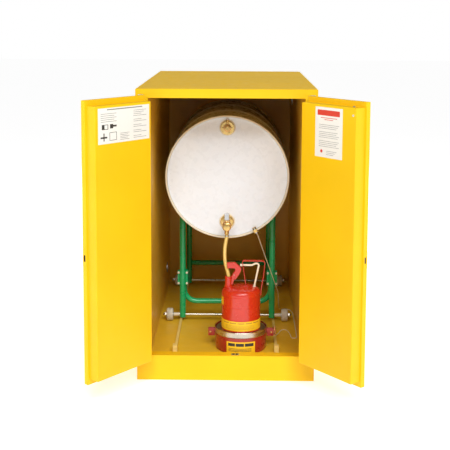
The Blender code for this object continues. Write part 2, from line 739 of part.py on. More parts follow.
def cradle_frame():
    """The front tube's ends turn up behind the front legs. The rear tube is coped to the rear legs."""
    cradle_sides()
    y, x, top = LEG_FRONT + CROSS_BACK, LEG_X - 0.006, CLAMP_Z + 0.036
    corners = [(-x, y, top), (-x, y, CROSS_LOW_Z), (x, y, CROSS_LOW_Z), (x, y, top)]
    bar = solid_copy(tube("cross_tube_front", rounded(corners, 0.062), 0.0135, GREEN, CRADLE, fineness=4))
    for side in (-1, 1):
        saddle(bar, side)
    end = LEG_X - 0.008
    corners = [(-end, LEG_REAR, CROSS_REAR_Z), (end, LEG_REAR, CROSS_REAR_Z)]
    bar = solid_copy(tube("cross_tube_rear", rounded(corners, 0.028), 0.0135, GREEN, CRADLE, fineness=4))
    for x in (-LEG_X, LEG_X):
        cut(bar, rod(
            "leg_room", (x, LEG_REAR, CROSS_REAR_Z - 0.03), (x, LEG_REAR, CROSS_REAR_Z + 0.03), TUBE + GAP,
            parent=CRADLE, sides=24,
        ))


def running_gear():
    outer = WHEEL_X + WHEEL_WIDTH / 2 + 0.0005
    inner = WHEEL_X - WHEEL_WIDTH / 2 - 0.0005
    bore = AXLE + 0.0006
    half = WHEEL_WIDTH / 2
    tread = [
        (WHEEL_RADIUS - 0.004, half), (WHEEL_RADIUS, half - 0.004), (WHEEL_RADIUS, 0.004 - half),
        (WHEEL_RADIUS - 0.004, -half), (bore, -half), (bore, half),
    ]
    for place, y in (("front", LEG_FRONT), ("rear", LEG_REAR)):
        axle = rod(
            "axle_" + place, (-outer - 0.010, y, AXLE_Z), (outer + 0.010, y, AXLE_Z), AXLE, ZINC, CRADLE,
        )
        for side, hand in ((-1, "left"), (1, "right")):
            fuse(
                axle,
                rod("collar", (side * (LEG_X + TUBE + 0.0015), y, AXLE_Z), (side * inner, y, AXLE_Z), 0.0085,
                    parent=CRADLE),
                rod("nut", (side * outer, y, AXLE_Z), (side * (outer + 0.008), y, AXLE_Z), 0.0110,
                    parent=CRADLE, sides=6),
                rod("nut_tip", (side * (outer + 0.007), y, AXLE_Z), (side * (outer + 0.018), y, AXLE_Z),
                    0.0090, parent=CRADLE, tip=0.0025),
            )
            turned(
                f"wheel_{place}_{hand}", tread, (side * WHEEL_X, y, AXLE_Z), RUBBER, CRADLE, axis=X,
                steps=20, ring=True,
            )


# ---- drip pan and safety can --------------------------------------------------------------------
def drip_pan():
    centre = (CAN_X, CAN_Y, 0.0)
    wall = PAN_RADIUS - 0.0025
    turned("can_pan", [
        (0.0, FLOOR + 0.0015), (wall - 0.0035, FLOOR + 0.0015), (wall - 0.0015, PAN_RIM - 0.001),
        (wall, PAN_RIM - 0.001), (wall - 0.002, FLOOR + GAP), (0.0, FLOOR + GAP),
    ], centre, RED, steps=32)
    turned("pan_plate", [
        (0.0, CAN_LOW - GAP), (wall - 0.004, CAN_LOW - GAP), (wall - 0.004, CAN_LOW - 0.0018),
        (0.0, CAN_LOW - 0.0018),
    ], centre, RED, steps=32)
    rim = turned("pan_rim", [
        (PAN_RADIUS, PAN_RIM), (PAN_RADIUS, PAN_RIM - 0.024), (PAN_RADIUS - 0.0019, PAN_RIM - 0.024),
        (PAN_RADIUS - 0.0019, PAN_RIM),
    ], centre, ZINC, steps=32, ring=True)
    for side in (-1, 1):
        near, far = CAN_X + side * (PAN_RADIUS - 0.0012), CAN_X + side * LUG_REACH
        fuse(rim, box(
            "lug", (min(near, far), CAN_Y - 0.009, LUG_Z - 0.022),
            (max(near, far), CAN_Y + 0.009, LUG_Z + 0.022),
        ))
    end = CAN_X + LUG_REACH + GAP
    clamp = box("pan_clamp", (end, CAN_Y - 0.008, LUG_Z - 0.015), (end + 0.010, CAN_Y + 0.008, LUG_Z + 0.015),
                COPPER)
    fuse(clamp, rod("screw", (end + 0.005, CAN_Y, LUG_Z), (end + 0.005, CAN_Y, LUG_Z + 0.026), 0.0035))


def safety_can():
    """A spun steel can with a filler neck, a strap handle and a vent tube held by the strap."""
    centre = (CAN_X, CAN_Y, 0.0)
    outline = [
        (0.0, CAN_TOP), (0.030, CAN_TOP - 0.001), (0.060, CAN_TOP - 0.005), (0.078, CAN_TOP - 0.0105),
        (0.085, CAN_TOP - 0.0165), (CAN_RADIUS, CAN_TOP - 0.026), (CAN_RADIUS, CAN_LOW + 0.004),
        (CAN_RADIUS - 0.003, CAN_LOW), (0.0, CAN_LOW),
    ]
    body = turned("can_body", outline, centre, RED, steps=32)
    hollow = turned("can_hollow", [
        (max(0.0, radius - 0.001), height - 0.0012 if height > CAN_SHOULDER else height + 0.0012)
        for radius, height in outline
    ], centre, steps=32)
    neck = (CAN_X + NECK_SHIFT, CAN_Y)
    fuse(
        body,
        rod("neck", (*neck, CAN_TOP - 0.012), (*neck, NECK_TOP), 0.0165, sides=20),
        rod("neck_bead", (*neck, NECK_TOP - 0.006), (*neck, NECK_TOP), 0.0180, sides=20),
    )
    cut(body, hollow, rod("bore", (*neck, 0.33), (*neck, NECK_TOP + 0.01), 0.0140, sides=20))
    side = CAN_X + CAN_RADIUS + STRAP / 2 + 0.0004
    handle = strap("can_handle", [
        (0.0903, CAN_TOP + 0.0004), (0.0730, 0.4965), (0.0775, 0.5010), (0.1690, 0.5010), (0.1762, 0.4930),
        (0.1700, 0.4300), (side + 0.0008, 0.3720), (side, 0.3560), (side, 0.3400),
    ], RED)
    cut(handle, rod("tube_hole", (0.060, CAN_Y, TUBE_Z), (0.090, CAN_Y, TUBE_Z), 0.0052, sides=16))
    tube("can_tube", rounded([
        (0.0640, CAN_Y, TUBE_Z), (0.1172, CAN_Y, TUBE_Z), (0.1340, CAN_Y, 0.4885), (0.1500, CAN_Y, 0.4870),
        (0.1285, CAN_Y, 0.3815),
    ], 0.010, 4), 0.0045, CREAM)


def can_lever():
    """The bent lever that holds the spout's lid. It turns on a pin beside the neck."""
    pivot = anchor("can_lever_pivot", LEVER_PIVOT)
    side_view = [
        (0.0015, 0.4860), (0.0040, 0.4920), (0.0400, 0.4925), (0.0665, 0.4690), (0.0690, 0.4610),
        (0.0600, 0.4390), (0.0420, 0.4130), (0.0375, 0.4130), (0.0285, 0.4340), (0.0330, 0.4420),
        (0.0425, 0.4585), (0.0360, 0.4660), (0.0110, 0.4660),
    ]
    bm = bmesh.new()
    face = bm.faces.new([
        bm.verts.new((x - LEVER_PIVOT.x, -LEVER_HALF, z - LEVER_PIVOT.z)) for x, z in side_view
    ])
    raised = bmesh.ops.extrude_face_region(bm, geom=[face])["geom"]
    moved = [item for item in raised if isinstance(item, bmesh.types.BMVert)]
    bmesh.ops.translate(bm, vec=(0.0, 2 * LEVER_HALF, 0.0), verts=moved)
    mesh_object("can_lever", bm, (0.0, 0.0, 0.0), RED, pivot)


# ---- bonding and hose ---------------------------------------------------------------------------
def bond_clamp():
    """A small clamp over the lower right of the front chime. Its own X points away from the drum's axis."""
    frame = anchor("bond_clamp_place", (
        DRUM_RADIUS * math.cos(CHIME_ANGLE), DRUM_FRONT, DRUM_Z + DRUM_RADIUS * math.sin(CHIME_ANGLE),
    ), CRADLE)
    frame.rotation_euler = (0.0, -CHIME_ANGLE, 0.0)
    clamp = box("bond_clamp", (-0.022, -0.013, -0.009), (0.008, -0.0004, 0.009), BRASS, frame)
    fuse(
        clamp,
        box("outer_jaw", (0.0006, -0.013, -0.009), (0.008, 0.011, 0.009), parent=frame),
        box("inner_jaw", (-0.022, -0.013, -0.009), (-0.0100, 0.009, 0.009), parent=frame),
    )


def free_lines():
    """The drain hose and the bonding wire. Both hang between the drum and what stands on the floor."""
    lie = FLOOR + WIRE + 2 * GAP
    hose = smooth_route([
        (0.0, FAUCET_Y, FAUCET_Z - OUTLET - GAP),
        (0.0, FAUCET_Y, FAUCET_Z - OUTLET - 0.016),
        (-0.008, FAUCET_Y - 0.020, 0.545),
        (-0.006, FAUCET_Y - 0.045, 0.490),
        (CAN_X + NECK_SHIFT - 0.001, CAN_Y + 0.002, 0.434),
        (CAN_X + NECK_SHIFT, CAN_Y, 0.402),
    ], 0.016)
    tube("drain_hose", hose, HOSE, HOSE_TAN, CRADLE)
    reach = DRUM_RADIUS + 0.008 + WIRE
    start_x = reach * math.cos(CHIME_ANGLE) + 0.001
    start_z = DRUM_Z + reach * math.sin(CHIME_ANGLE) - 0.001
    wire = smooth_route([
        (start_x, DRUM_FRONT - 0.008, start_z),
        (0.181, FRONT + 0.420, 0.468),
        (0.2215, FRONT + 0.480, 0.346),
        (0.240, FRONT + 0.530, 0.285),
        (0.2535, FRONT + 0.572, 0.235),
        (0.2605, FRONT + 0.640, 0.152),
        (0.267, FRONT + 0.700, 0.116),
        (0.280, FRONT + 0.742, lie),
        (0.300, FRONT + 0.757, lie),
        (0.320, FRONT + 0.740, lie),
        (0.333, FRONT + 0.690, lie),
        (0.3345, FRONT + 0.600, lie),
        (0.3345, FRONT + 0.500, lie),
        (0.3345, FRONT + 0.400, lie),
        (0.334, FRONT + 0.330, lie),
        (0.326, FRONT + 0.290, lie),
        (0.314, FRONT + 0.300, lie),
        (0.306, FRONT + 0.350, lie),
        (0.296, FRONT + 0.400, lie),
        (0.278, FRONT + 0.422, lie),
        (0.259, FRONT + 0.400, lie),
        (0.248, FRONT + 0.350, 0.101),
        (0.2385, FRONT + 0.300, 0.112),
        (0.231, FRONT + 0.245, 0.127),
        (0.2255, CAN_Y + 0.025, 0.148),
        (CAN_X + LUG_REACH + 0.0055, CAN_Y + 0.0095, LUG_Z),
    ], 0.014)
    wire = [(x, y, max(z, lie)) for x, y, z in wire]
    tube("bond_wire", wire, WIRE, WIRE_COAT, CRADLE)


CRADLE = anchor("cradle_slide", (0.0, 0.0, 0.0))

outer_skin()
liner()
front_frame()
side_vents()
floor_rails()
frame_hinges()
left_door()
right_door()
drum()
drum_vent()
faucet()
cradle_frame()
running_gear()
drip_pan()
safety_can()
can_lever()
bond_clamp()
free_lines()
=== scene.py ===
"""The looks of the drum safety cabinet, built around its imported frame, in metres."""

from math import copysign, cos, pi, radians, sin, sqrt, tan

import bmesh
import bpy
from mathutils import Matrix, Vector


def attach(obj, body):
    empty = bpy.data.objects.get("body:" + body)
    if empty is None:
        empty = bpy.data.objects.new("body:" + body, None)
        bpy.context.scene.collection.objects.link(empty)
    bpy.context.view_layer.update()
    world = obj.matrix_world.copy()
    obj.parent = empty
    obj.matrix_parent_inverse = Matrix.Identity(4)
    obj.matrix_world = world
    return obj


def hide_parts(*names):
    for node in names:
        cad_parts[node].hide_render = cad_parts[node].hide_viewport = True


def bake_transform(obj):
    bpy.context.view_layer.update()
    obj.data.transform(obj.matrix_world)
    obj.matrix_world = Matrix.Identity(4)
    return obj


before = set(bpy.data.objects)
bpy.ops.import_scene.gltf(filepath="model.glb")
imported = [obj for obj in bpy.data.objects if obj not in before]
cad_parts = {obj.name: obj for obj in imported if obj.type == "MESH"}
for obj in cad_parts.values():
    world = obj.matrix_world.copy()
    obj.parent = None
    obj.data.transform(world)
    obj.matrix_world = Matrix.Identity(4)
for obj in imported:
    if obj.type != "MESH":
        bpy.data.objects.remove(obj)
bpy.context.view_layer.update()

# ---- sizes, the same as the CAD model's ----
FRONT, BACK, SIDE, HEIGHT = -0.66, 0.66, 0.3935, 1.3
SHEET, GAP = 0.0015, 0.0003
BAY, FLOOR, CEILING, SILL_TOP = 0.34, 0.095, 1.26, 0.113
REAR_WALL = 0.62
HINGE_X, HINGE_Y = 0.359, FRONT - 0.0235
DOOR_OPEN = radians(128)
DOOR_LOW, DOOR_HIGH = 0.095, 1.275
DOOR_FACE, DOOR_REAR = FRONT - 0.0235, FRONT - 0.0015
DOOR_FREE, DOOR_HUNG = 0.0015, 0.351
PAN_FREE, PAN_HUNG, PAN_LOW, PAN_HIGH = 0.01, 0.333, 0.118, 1.253
PAN_FACE = FRONT + 0.049
LATCH_X, LATCH_Z, LOCK_Z = 0.05, 0.63, 0.59
VENT_Y, VENT_RADIUS = 0.42, 0.029
DRUM_Z, DRUM_FRONT, DRUM_LENGTH = 0.857, FRONT + 0.35, 0.88
DRUM_RADIUS, DRUM_BODY = 0.2925, 0.286
HEAD_Y = DRUM_FRONT + 0.0125
VENT_Z, FAUCET_Z, FAUCET_Y = DRUM_Z + 0.234, DRUM_Z - 0.213, FRONT + 0.245
TUBE, LEG_X, LEG_LOW = 0.015, 0.222, 0.1135
LEGS = (FRONT + 0.56, FRONT + 1.195)
TOP_Z = DRUM_Z - sqrt((DRUM_RADIUS + TUBE + 0.0008) ** 2 - LEG_X ** 2)
AXLE_Z, AXLE, WHEEL_X, WHEEL_R, WHEEL_W = 0.1263, 0.0065, 0.286, 0.031, 0.034
CLAMP_Z, CLAMP_HALF, CLAMP_REACH = 0.314, 0.036, 0.025
CROSS_TUBE, CROSS_BACK, CROSS_LOW_Z, CROSS_REAR_Z = 0.0135, 0.0295, 0.187, 0.228
CAN_X, CAN_Y, CAN_R, CAN_LOW, CAN_TOP = 0.068, FRONT + 0.18, 0.089, 0.188, 0.384
NECK_X, NECK_TOP = 0.01, 0.428
PAN_R, PAN_RIM, LUG_REACH, LUG_Z = 0.12, 0.195, 0.15, 0.166
LEVER_X, LEVER_Z, TUBE_Z = 0.0355, 0.436, 0.4798
CHIME_ANGLE = radians(-62)
HOSE_RADIUS, WIRE_RADIUS, OUTLET = 0.008, 0.002, 0.034
PRINT_LOW, PRINT_HIGH = 0.0003, 0.00045   # a label's face, and the printing on it
X, Y, Z = Vector((1, 0, 0)), Vector((0, 1, 0)), Vector((0, 0, 1))


# ---- materials ----
def add(tree, kind, settings=None, **inputs):
    node = tree.nodes.new(kind)
    for key, value in (settings or {}).items():
        setattr(node, key, value)
    for key, value in inputs.items():
        socket = node.inputs[key.replace("_", " ")]
        if isinstance(value, bpy.types.NodeSocket):
            tree.links.new(value, socket)
        else:
            socket.default_value = value
    return node


def noise(tree, scale, detail=3.0, stretch=None):
    place = add(tree, "ShaderNodeTexCoord").outputs["Object"]
    if stretch:
        place = add(tree, "ShaderNodeMapping", Vector=place, Scale=stretch).outputs[0]
    return add(tree, "ShaderNodeTexNoise", Vector=place, Scale=scale, Detail=detail).outputs["Fac"]


def spread(tree, value, low, high):
    node = add(tree, "ShaderNodeMapRange", Value=value, From_Min=0.3, From_Max=0.7)
    node.inputs["To Min"].default_value = low
    node.inputs["To Max"].default_value = high
    return node.outputs["Result"]


def mixed(tree, factor, first, second):
    node = add(tree, "ShaderNodeMix", {"data_type": "RGBA"})
    for index, value in ((0, factor), (6, first), (7, second)):
        if isinstance(value, bpy.types.NodeSocket):
            tree.links.new(value, node.inputs[index])
        else:
            node.inputs[index].default_value = value
    return node.outputs[2]


def finish_of(name, colour, rough, metal=0.0, shade=0.06, patch=5.0, peel=0.12, grain=650.0,
              stretch=None, coat=0.0, second=None, second_patch=14.0, distance=0.0002, gloss=0.5):
    """A finish with a slow colour drift, uneven roughness and a fine surface grain."""
    made = bpy.data.materials.new(name)
    made.use_nodes = True
    tree = made.node_tree
    shader = tree.nodes["Principled BSDF"]
    dark = tuple(c * (1 - shade) for c in colour) + (1.0,)
    light = tuple(min(1.0, c * (1 + shade)) for c in colour) + (1.0,)
    tone = mixed(tree, spread(tree, noise(tree, patch), 0, 1.0), dark, light)
    if second:
        spots = spread(tree, noise(tree, second_patch, 6.0, stretch), -1.2, 0.8)
        clamp = add(tree, "ShaderNodeClamp", Value=spots).outputs[0]
        tone = mixed(tree, clamp, tone, (*second, 1.0))
    tree.links.new(tone, shader.inputs["Base Color"])
    uneven = spread(tree, noise(tree, 30.0, 4.0, stretch), max(0.03, rough - 0.06), rough + 0.07)
    tree.links.new(uneven, shader.inputs["Roughness"])
    bump = add(tree, "ShaderNodeBump", Height=noise(tree, grain, 2.0, stretch), Strength=peel,
               Distance=distance)
    tree.links.new(bump.outputs[0], shader.inputs["Normal"])
    shader.inputs["Metallic"].default_value = metal
    shader.inputs["Coat Weight"].default_value = coat
    shader.inputs["Specular IOR Level"].default_value = gloss
    shader.inputs["Coat Roughness"].default_value = 0.12
    return made


YELLOW = finish_of("powder_yellow", (0.95, 0.575, 0.006), 0.42, shade=0.03, peel=0.18, gloss=0.28)
# painted shade: the cabinet's inside is a darker copy of the outside yellow powder coat
INSIDE_SHADED = finish_of("powder_yellow_inside_shaded", (0.8, 0.47, 0.04), 0.42, shade=0.05, peel=0.2, coat=0.1)
# painted shade: the floor pan is a darker copy of the outside yellow powder coat
FLOOR_PAINT_SHADED = finish_of("powder_yellow_floor_shaded", (0.84, 0.53, 0.03), 0.36, shade=0.05, patch=9.0, peel=0.2)
# painted light: the floor rails are a lighter, paler copy of the floor paint
RAIL_PAINT_LIT = finish_of("rail_paint_lit", (0.88, 0.66, 0.2), 0.34, shade=0.05, peel=0.1)
WHITE = finish_of("drum_enamel", (0.83, 0.88, 0.94), 0.28, shade=0.02, peel=0.1, grain=300.0, coat=0.3)
CREAM_RIM = finish_of("drum_chime_enamel", (0.8, 0.74, 0.58), 0.34, shade=0.05, peel=0.1)
GREEN = finish_of("green_enamel", (0, 0.42, 0.14), 0.3, shade=0.1, peel=0.1, grain=400.0, coat=0.7)
RED = finish_of("red_powder", (0.62, 0.026, 0.008), 0.24, shade=0.03, peel=0.08, grain=500.0, coat=0.6)
# painted shade: the drip pan is a darker copy of the can's red powder coat
PAN_RED_SHADED = finish_of("pan_red_shaded", (0.36, 0.02, 0.012), 0.3, shade=0.05, peel=0.08, grain=500.0, coat=0.4)
BAND = finish_of("band_yellow", (0.95, 0.6, 0.015), 0.42, shade=0.05, peel=0.08)
BRASS = finish_of("brass", (0.74, 0.5, 0.18), 0.26, 1.0, shade=0.14, patch=40.0, peel=0.1,
                  second=(0.42, 0.25, 0.08), second_patch=70.0)
COPPER = finish_of("copper", (0.74, 0.34, 0.17), 0.3, 1.0, shade=0.14, patch=60.0, second=(0.35, 0.16, 0.08),
                   second_patch=120.0)
ZINC = finish_of("zinc_plate", (0.6, 0.61, 0.63), 0.32, 1.0, shade=0.1, patch=30.0, peel=0.1,
                 stretch=(1.0, 1.0, 0.15), second=(0.42, 0.42, 0.4), second_patch=90.0)
STEEL = finish_of("bright_steel", (0.6, 0.57, 0.5), 0.3, 1.0, shade=0.06, patch=30.0, peel=0.08,
                  stretch=(1.0, 1.0, 12.0))
BLACK = finish_of("black_coated", (0.018, 0.018, 0.018), 0.42, shade=0.25, peel=0.25, grain=900.0)
# painted shade: a near-black finish put in slots, pockets and keyholes where there is only shade
RECESS_SHADE = finish_of("painted_recess_shade", (0.006, 0.005, 0.004), 0.85, shade=0.2)
RUBBER = finish_of("wheel_rubber", (0.66, 0.63, 0.53), 0.62, shade=0.12, peel=0.45, grain=500.0,
                   second=(0.44, 0.41, 0.33), second_patch=60.0)
CREAM = finish_of("cream_sleeve", (0.84, 0.76, 0.56), 0.42, shade=0.05, patch=60.0)
TAN = finish_of("tan_hose", (0.78, 0.54, 0.14), 0.38, shade=0.1, patch=70.0, coat=0.2)
WIRE = finish_of("wire_coat", (0.86, 0.79, 0.6), 0.42, shade=0.1, patch=90.0)
LABEL = finish_of("label_white", (0.88, 0.87, 0.82), 0.4, shade=0.02, peel=0.05)
PRINT_GREY = finish_of("print_grey", (0.28, 0.28, 0.27), 0.5, shade=0.1, peel=0.05)
PRINT_DARK = finish_of("print_dark", (0.03, 0.03, 0.03), 0.5, shade=0.1, peel=0.05)
PRINT_BROWN = finish_of("print_brown", (0.5, 0.26, 0.03), 0.5, shade=0.1, peel=0.05)
PRINT_RED = finish_of("print_red", (0.7, 0.05, 0.03), 0.45, shade=0.05, peel=0.05)
SLOTS = {finish.name: slot for slot, finishes in (
    ("yellow_paint", (YELLOW, BAND)),
    ("yellow_liner", (INSIDE_SHADED,)),
    ("white_paint", (WHITE, CREAM_RIM, LABEL)),
    ("green_paint", (GREEN,)),
    ("red_paint", (RED, PAN_RED_SHADED, PRINT_RED)),
    ("black_plastic", (BLACK, RECESS_SHADE, PRINT_GREY, PRINT_DARK, PRINT_BROWN)),
    ("zinc", (ZINC, STEEL)),
    ("brass", (BRASS,)),
    ("copper", (COPPER,)),
    ("rubber", (RUBBER,)),
    ("cream_tube", (CREAM,)),
    ("hose_tan", (TAN,)),
    ("wire_coat", (WIRE,)),
) for finish in finishes}


# ---- shapes: each returns a bmesh in the row frame ----
def block(low, high, radius=0.0006, segments=2):
    low, high = Vector(low), Vector(high)
    low, high = Vector(map(min, low, high)), Vector(map(max, low, high))
    bm = bmesh.new()
    bmesh.ops.create_cube(bm, size=1.0)
    bmesh.ops.scale(bm, vec=high - low, verts=bm.verts)
    bmesh.ops.translate(bm, vec=(low + high) / 2, verts=bm.verts)
    if radius:
        bmesh.ops.bevel(bm, geom=bm.edges[:], offset=min(radius, min(high - low) * 0.45),
                        segments=segments, profile=0.5, affect="EDGES")
    return bm


def turned(profile, centre, axis=Z, steps=64, ring=False):
    """(radius, height) points turned about axis. With ring the profile closes on itself."""
    bm = bmesh.new()
    place = Matrix.Translation(centre) @ axis.to_track_quat("Z", "Y").to_matrix().to_4x4()
    rows = []
    for radius, height in profile:
        if radius < 1e-7:
            rows.append([bm.verts.new(place @ Vector((0, 0, height)))] * steps)
        else:
            rows.append([
                bm.verts.new(place @ Vector((radius * cos(a), radius * sin(a), height)))
                for a in (2 * pi * k / steps for k in range(steps))
            ])
    pairs = list(zip(rows, rows[1:])) + ([(rows[-1], rows[0])] if ring else [])
    for upper, lower in pairs:
        for k in range(steps):
            corners = []
            for vert in (upper[k], upper[(k + 1) % steps], lower[(k + 1) % steps], lower[k]):
                if vert not in corners:
                    corners.append(vert)
            if len(corners) > 2:
                bm.faces.new(corners)
    bmesh.ops.recalc_face_normals(bm, faces=bm.faces)
    return bm


def pin(start, end, radius, sides=24, edge=0.0006, tip=None):
    """A cylinder with softened ends, or a taper where tip is given."""
    start, end = Vector(start), Vector(end)
    length = (end - start).length
    last = radius if tip is None else tip
    edge = min(edge, radius * 0.4, last * 0.4, length * 0.3)
    profile = [(0, length), (last - edge, length), (last, length - edge), (radius, edge),
               (radius - edge, 0), (0, 0)]
    return turned(profile, start, end - start, sides)


def swept(points, radius, sides=20):
    """A round tube along points, with rounded-off ends."""
    points = [Vector(p) for p in points]
    tangents = [
        (points[min(i + 1, len(points) - 1)] - points[max(i - 1, 0)]).normalized()
        for i in range(len(points))
    ]
    up = tangents[0].orthogonal().normalized()
    bm = bmesh.new()
    rows = []
    for point, tangent in zip(points, tangents):
        up = (up - tangent * up.dot(tangent)).normalized()
        across = tangent.cross(up)
        rows.append([
            bm.verts.new(point + (up * cos(a) + across * sin(a)) * radius)
            for a in (2 * pi * k / sides for k in range(sides))
        ])
    for first, second in zip(rows, rows[1:]):
        for k in range(sides):
            bm.faces.new((first[k], first[(k + 1) % sides], second[(k + 1) % sides], second[k]))
    bm.faces.new(rows[0])
    bm.faces.new(rows[-1])
    bmesh.ops.recalc_face_normals(bm, faces=bm.faces)
    return bm


def upright(x, y, z):
    """Stands an outline up in the XZ plane at a point, its depth towards -Y."""
    return Matrix.Translation((x, y, z)) @ Matrix.Rotation(radians(90), 4, "X")


def outline(points, depth, place, radius=0.0005):
    """A flat outline in its own XY plane, made depth thick along Z, then placed by a matrix."""
    bm = bmesh.new()
    face = bm.faces.new([bm.verts.new((x, y, 0)) for x, y in points])
    lifted = bmesh.ops.extrude_face_region(bm, geom=[face])
    raised = [v for v in lifted["geom"] if isinstance(v, bmesh.types.BMVert)]
    bmesh.ops.translate(bm, vec=(0, 0, depth), verts=raised)
    if radius:
        bmesh.ops.bevel(bm, geom=bm.edges[:], offset=radius, segments=1, affect="EDGES")
    bm.transform(place)
    bmesh.ops.recalc_face_normals(bm, faces=bm.faces)
    return bm


def strap(points, thick, half, y):
    """A flat strap of even thickness along (x, z) points, its width along Y."""
    points = [Vector(point) for point in points]
    upper, lower = [], []
    for k, point in enumerate(points):
        before = (point - points[max(k - 1, 0)]).normalized()
        after = (points[min(k + 1, len(points) - 1)] - point).normalized()
        along = (before + after).normalized()
        side = Vector((-along.y, along.x)) * thick / 2
        upper.append(point + side)
        lower.append(point - side)
    place = upright(0, y + half, 0)
    return outline(upper + lower[::-1], 2 * half, place, thick * 0.2)


def arc_patch(centre, radius, thick, low, high, start, end, steps=24):
    """A piece of a thin upright cylinder wall between two angles in degrees."""
    bm = bmesh.new()
    rows = []
    for k in range(steps + 1):
        a = radians(start + (end - start) * k / steps)
        ring = []
        for r, z in ((radius, low), (radius + thick, low), (radius + thick, high), (radius, high)):
            ring.append(bm.verts.new((centre[0] + r * cos(a), centre[1] + r * sin(a), z)))
        rows.append(ring)
    for first, second in zip(rows, rows[1:]):
        for k in range(4):
            bm.faces.new((first[k], first[(k + 1) % 4], second[(k + 1) % 4], second[k]))
    bm.faces.new(rows[0])
    bm.faces.new(rows[-1])
    bmesh.ops.recalc_face_normals(bm, faces=bm.faces)
    return bm


def dome(height, crown, shoulder, foot, centre, axis, steps):
    """A low screw or rivet head: flat out to the crown, then down from the shoulder to the foot."""
    return turned([(0, height), (crown, shoulder), (foot, 0), (0, 0)], centre, axis, steps)


def nut(centre, axis, width, thick, bore=0, sides=6):
    """A nut or bolt head with chamfered corners, centred on its near face."""
    r = width / 2 / cos(pi / 6)
    profile = [(max(bore, 0), thick), (width * 0.46, thick), (r, thick - width * 0.06),
               (r, width * 0.04), (width * 0.48, 0), (max(bore, 0), 0)]
    return turned(profile, centre, axis, sides, ring=bore > 0)


def rounded(corners, radius, steps=8):
    """A path through corners, with each inner corner turned on an arc."""
    corners = [Vector(c) for c in corners]
    path = [corners[0]]
    for before, corner, after in zip(corners, corners[1:], corners[2:]):
        back, ahead = (before - corner).normalized(), (after - corner).normalized()
        half = back.angle(ahead) / 2
        centre = corner + (back + ahead).normalized() * radius / sin(half)
        start = corner + back * radius / tan(half) - centre
        end = corner + ahead * radius / tan(half) - centre
        turn = start.angle(end)
        for k in range(steps + 1):
            t = k / steps
            path.append(centre + (start * sin((1 - t) * turn) + end * sin(t * turn)) / sin(turn))
    return path + [corners[-1]]


def smooth_route(points, step):
    """Points about one step apart on a smooth curve through the given points."""
    knots = [Vector(p) for p in points]
    ends = [2 * knots[0] - knots[1]] + knots + [2 * knots[-1] - knots[-2]]
    route = []
    for before, start, end, after in zip(ends, ends[1:], ends[2:], ends[3:]):
        count = max(1, round((end - start).length / step))
        for index in range(count):
            t = index / count
            route.append(0.5 * (
                2 * start + (end - before) * t
                + (2 * before - 5 * start + 4 * end - after) * t ** 2
                + (3 * start - before - 3 * end + after) * t ** 3
            ))
    return route + [knots[-1]]


def length_of(path):
    return sum((b - a).length for a, b in zip(path, path[1:]))


def piece(name, body, finish, shapes, stands_for=(), slot=None, world=None, soft=40.0, blend=None):
    """One object from several shapes, riding on a body, or left unparented in world space when blend is
    given.
    """
    whole = bmesh.new()
    for shape in shapes:
        data = bpy.data.meshes.new("part")
        shape.to_mesh(data)
        shape.free()
        whole.from_mesh(data)
        bpy.data.meshes.remove(data)
    data = bpy.data.meshes.new(name)
    if world is not None:
        whole.transform(world)
    whole.to_mesh(data)
    whole.free()
    data.shade_smooth()
    data.set_sharp_from_angle(angle=radians(soft))
    data.materials.append(finish)
    made = bpy.data.objects.new(name, data)
    bpy.context.scene.collection.objects.link(made)
    if blend:
        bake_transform(made)
    else:
        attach(made, body)
    even = made.modifiers.new("even_normals", "WEIGHTED_NORMAL")
    even.keep_sharp = True
    if stands_for:
        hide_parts(*stands_for)
    slot = slot or SLOTS[finish.name]
    return made


def dress(finish, *names, edge=0.0006):
    """A CAD node kept as it is, with a finish and softened edges."""
    for name in names:
        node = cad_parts[name]
        node.data.materials.clear()
        node.data.materials.append(finish)
        soft = node.modifiers.new("edges", "BEVEL")
        soft.width = edge
        soft.segments = 2
        soft.limit_method = "ANGLE"
        soft.angle_limit = radians(50)
        soft.use_clamp_overlap = True
        node.modifiers.new("even_normals", "WEIGHTED_NORMAL")


# ---- cabinet shell ----
def wrap():
    """Both sides and the top as one sheet folded at the two long edges."""
    def path(inset, radius):
        side, top = SIDE - inset, HEIGHT - inset
        points = [(-side, 0)]
        for x, start in ((-1, pi), (1, pi / 2)):
            for k in range(7):
                a = start - k / 6 * pi / 2
                points.append((x * (side - radius) + radius * cos(a), top - radius + radius * sin(a)))
        return points + [(side, 0)]

    bm = bmesh.new()
    rings = []
    for y in (FRONT, BACK - SHEET - GAP):
        for points in (path(0, 0.0045), path(SHEET, 0.003)):
            rings.append([bm.verts.new((x, y, z)) for x, z in points])
    outer, inner, outer_back, inner_back = rings
    for first, second in ((outer, outer_back), (outer_back, inner_back), (inner_back, inner),
                          (inner, outer)):
        for k in range(len(first) - 1):
            bm.faces.new((first[k], first[k + 1], second[k + 1], second[k]))
    for k in (0, -1):
        bm.faces.new((outer[k], outer_back[k], inner_back[k], inner[k]))
    bmesh.ops.recalc_face_normals(bm, faces=bm.faces)
    return bm


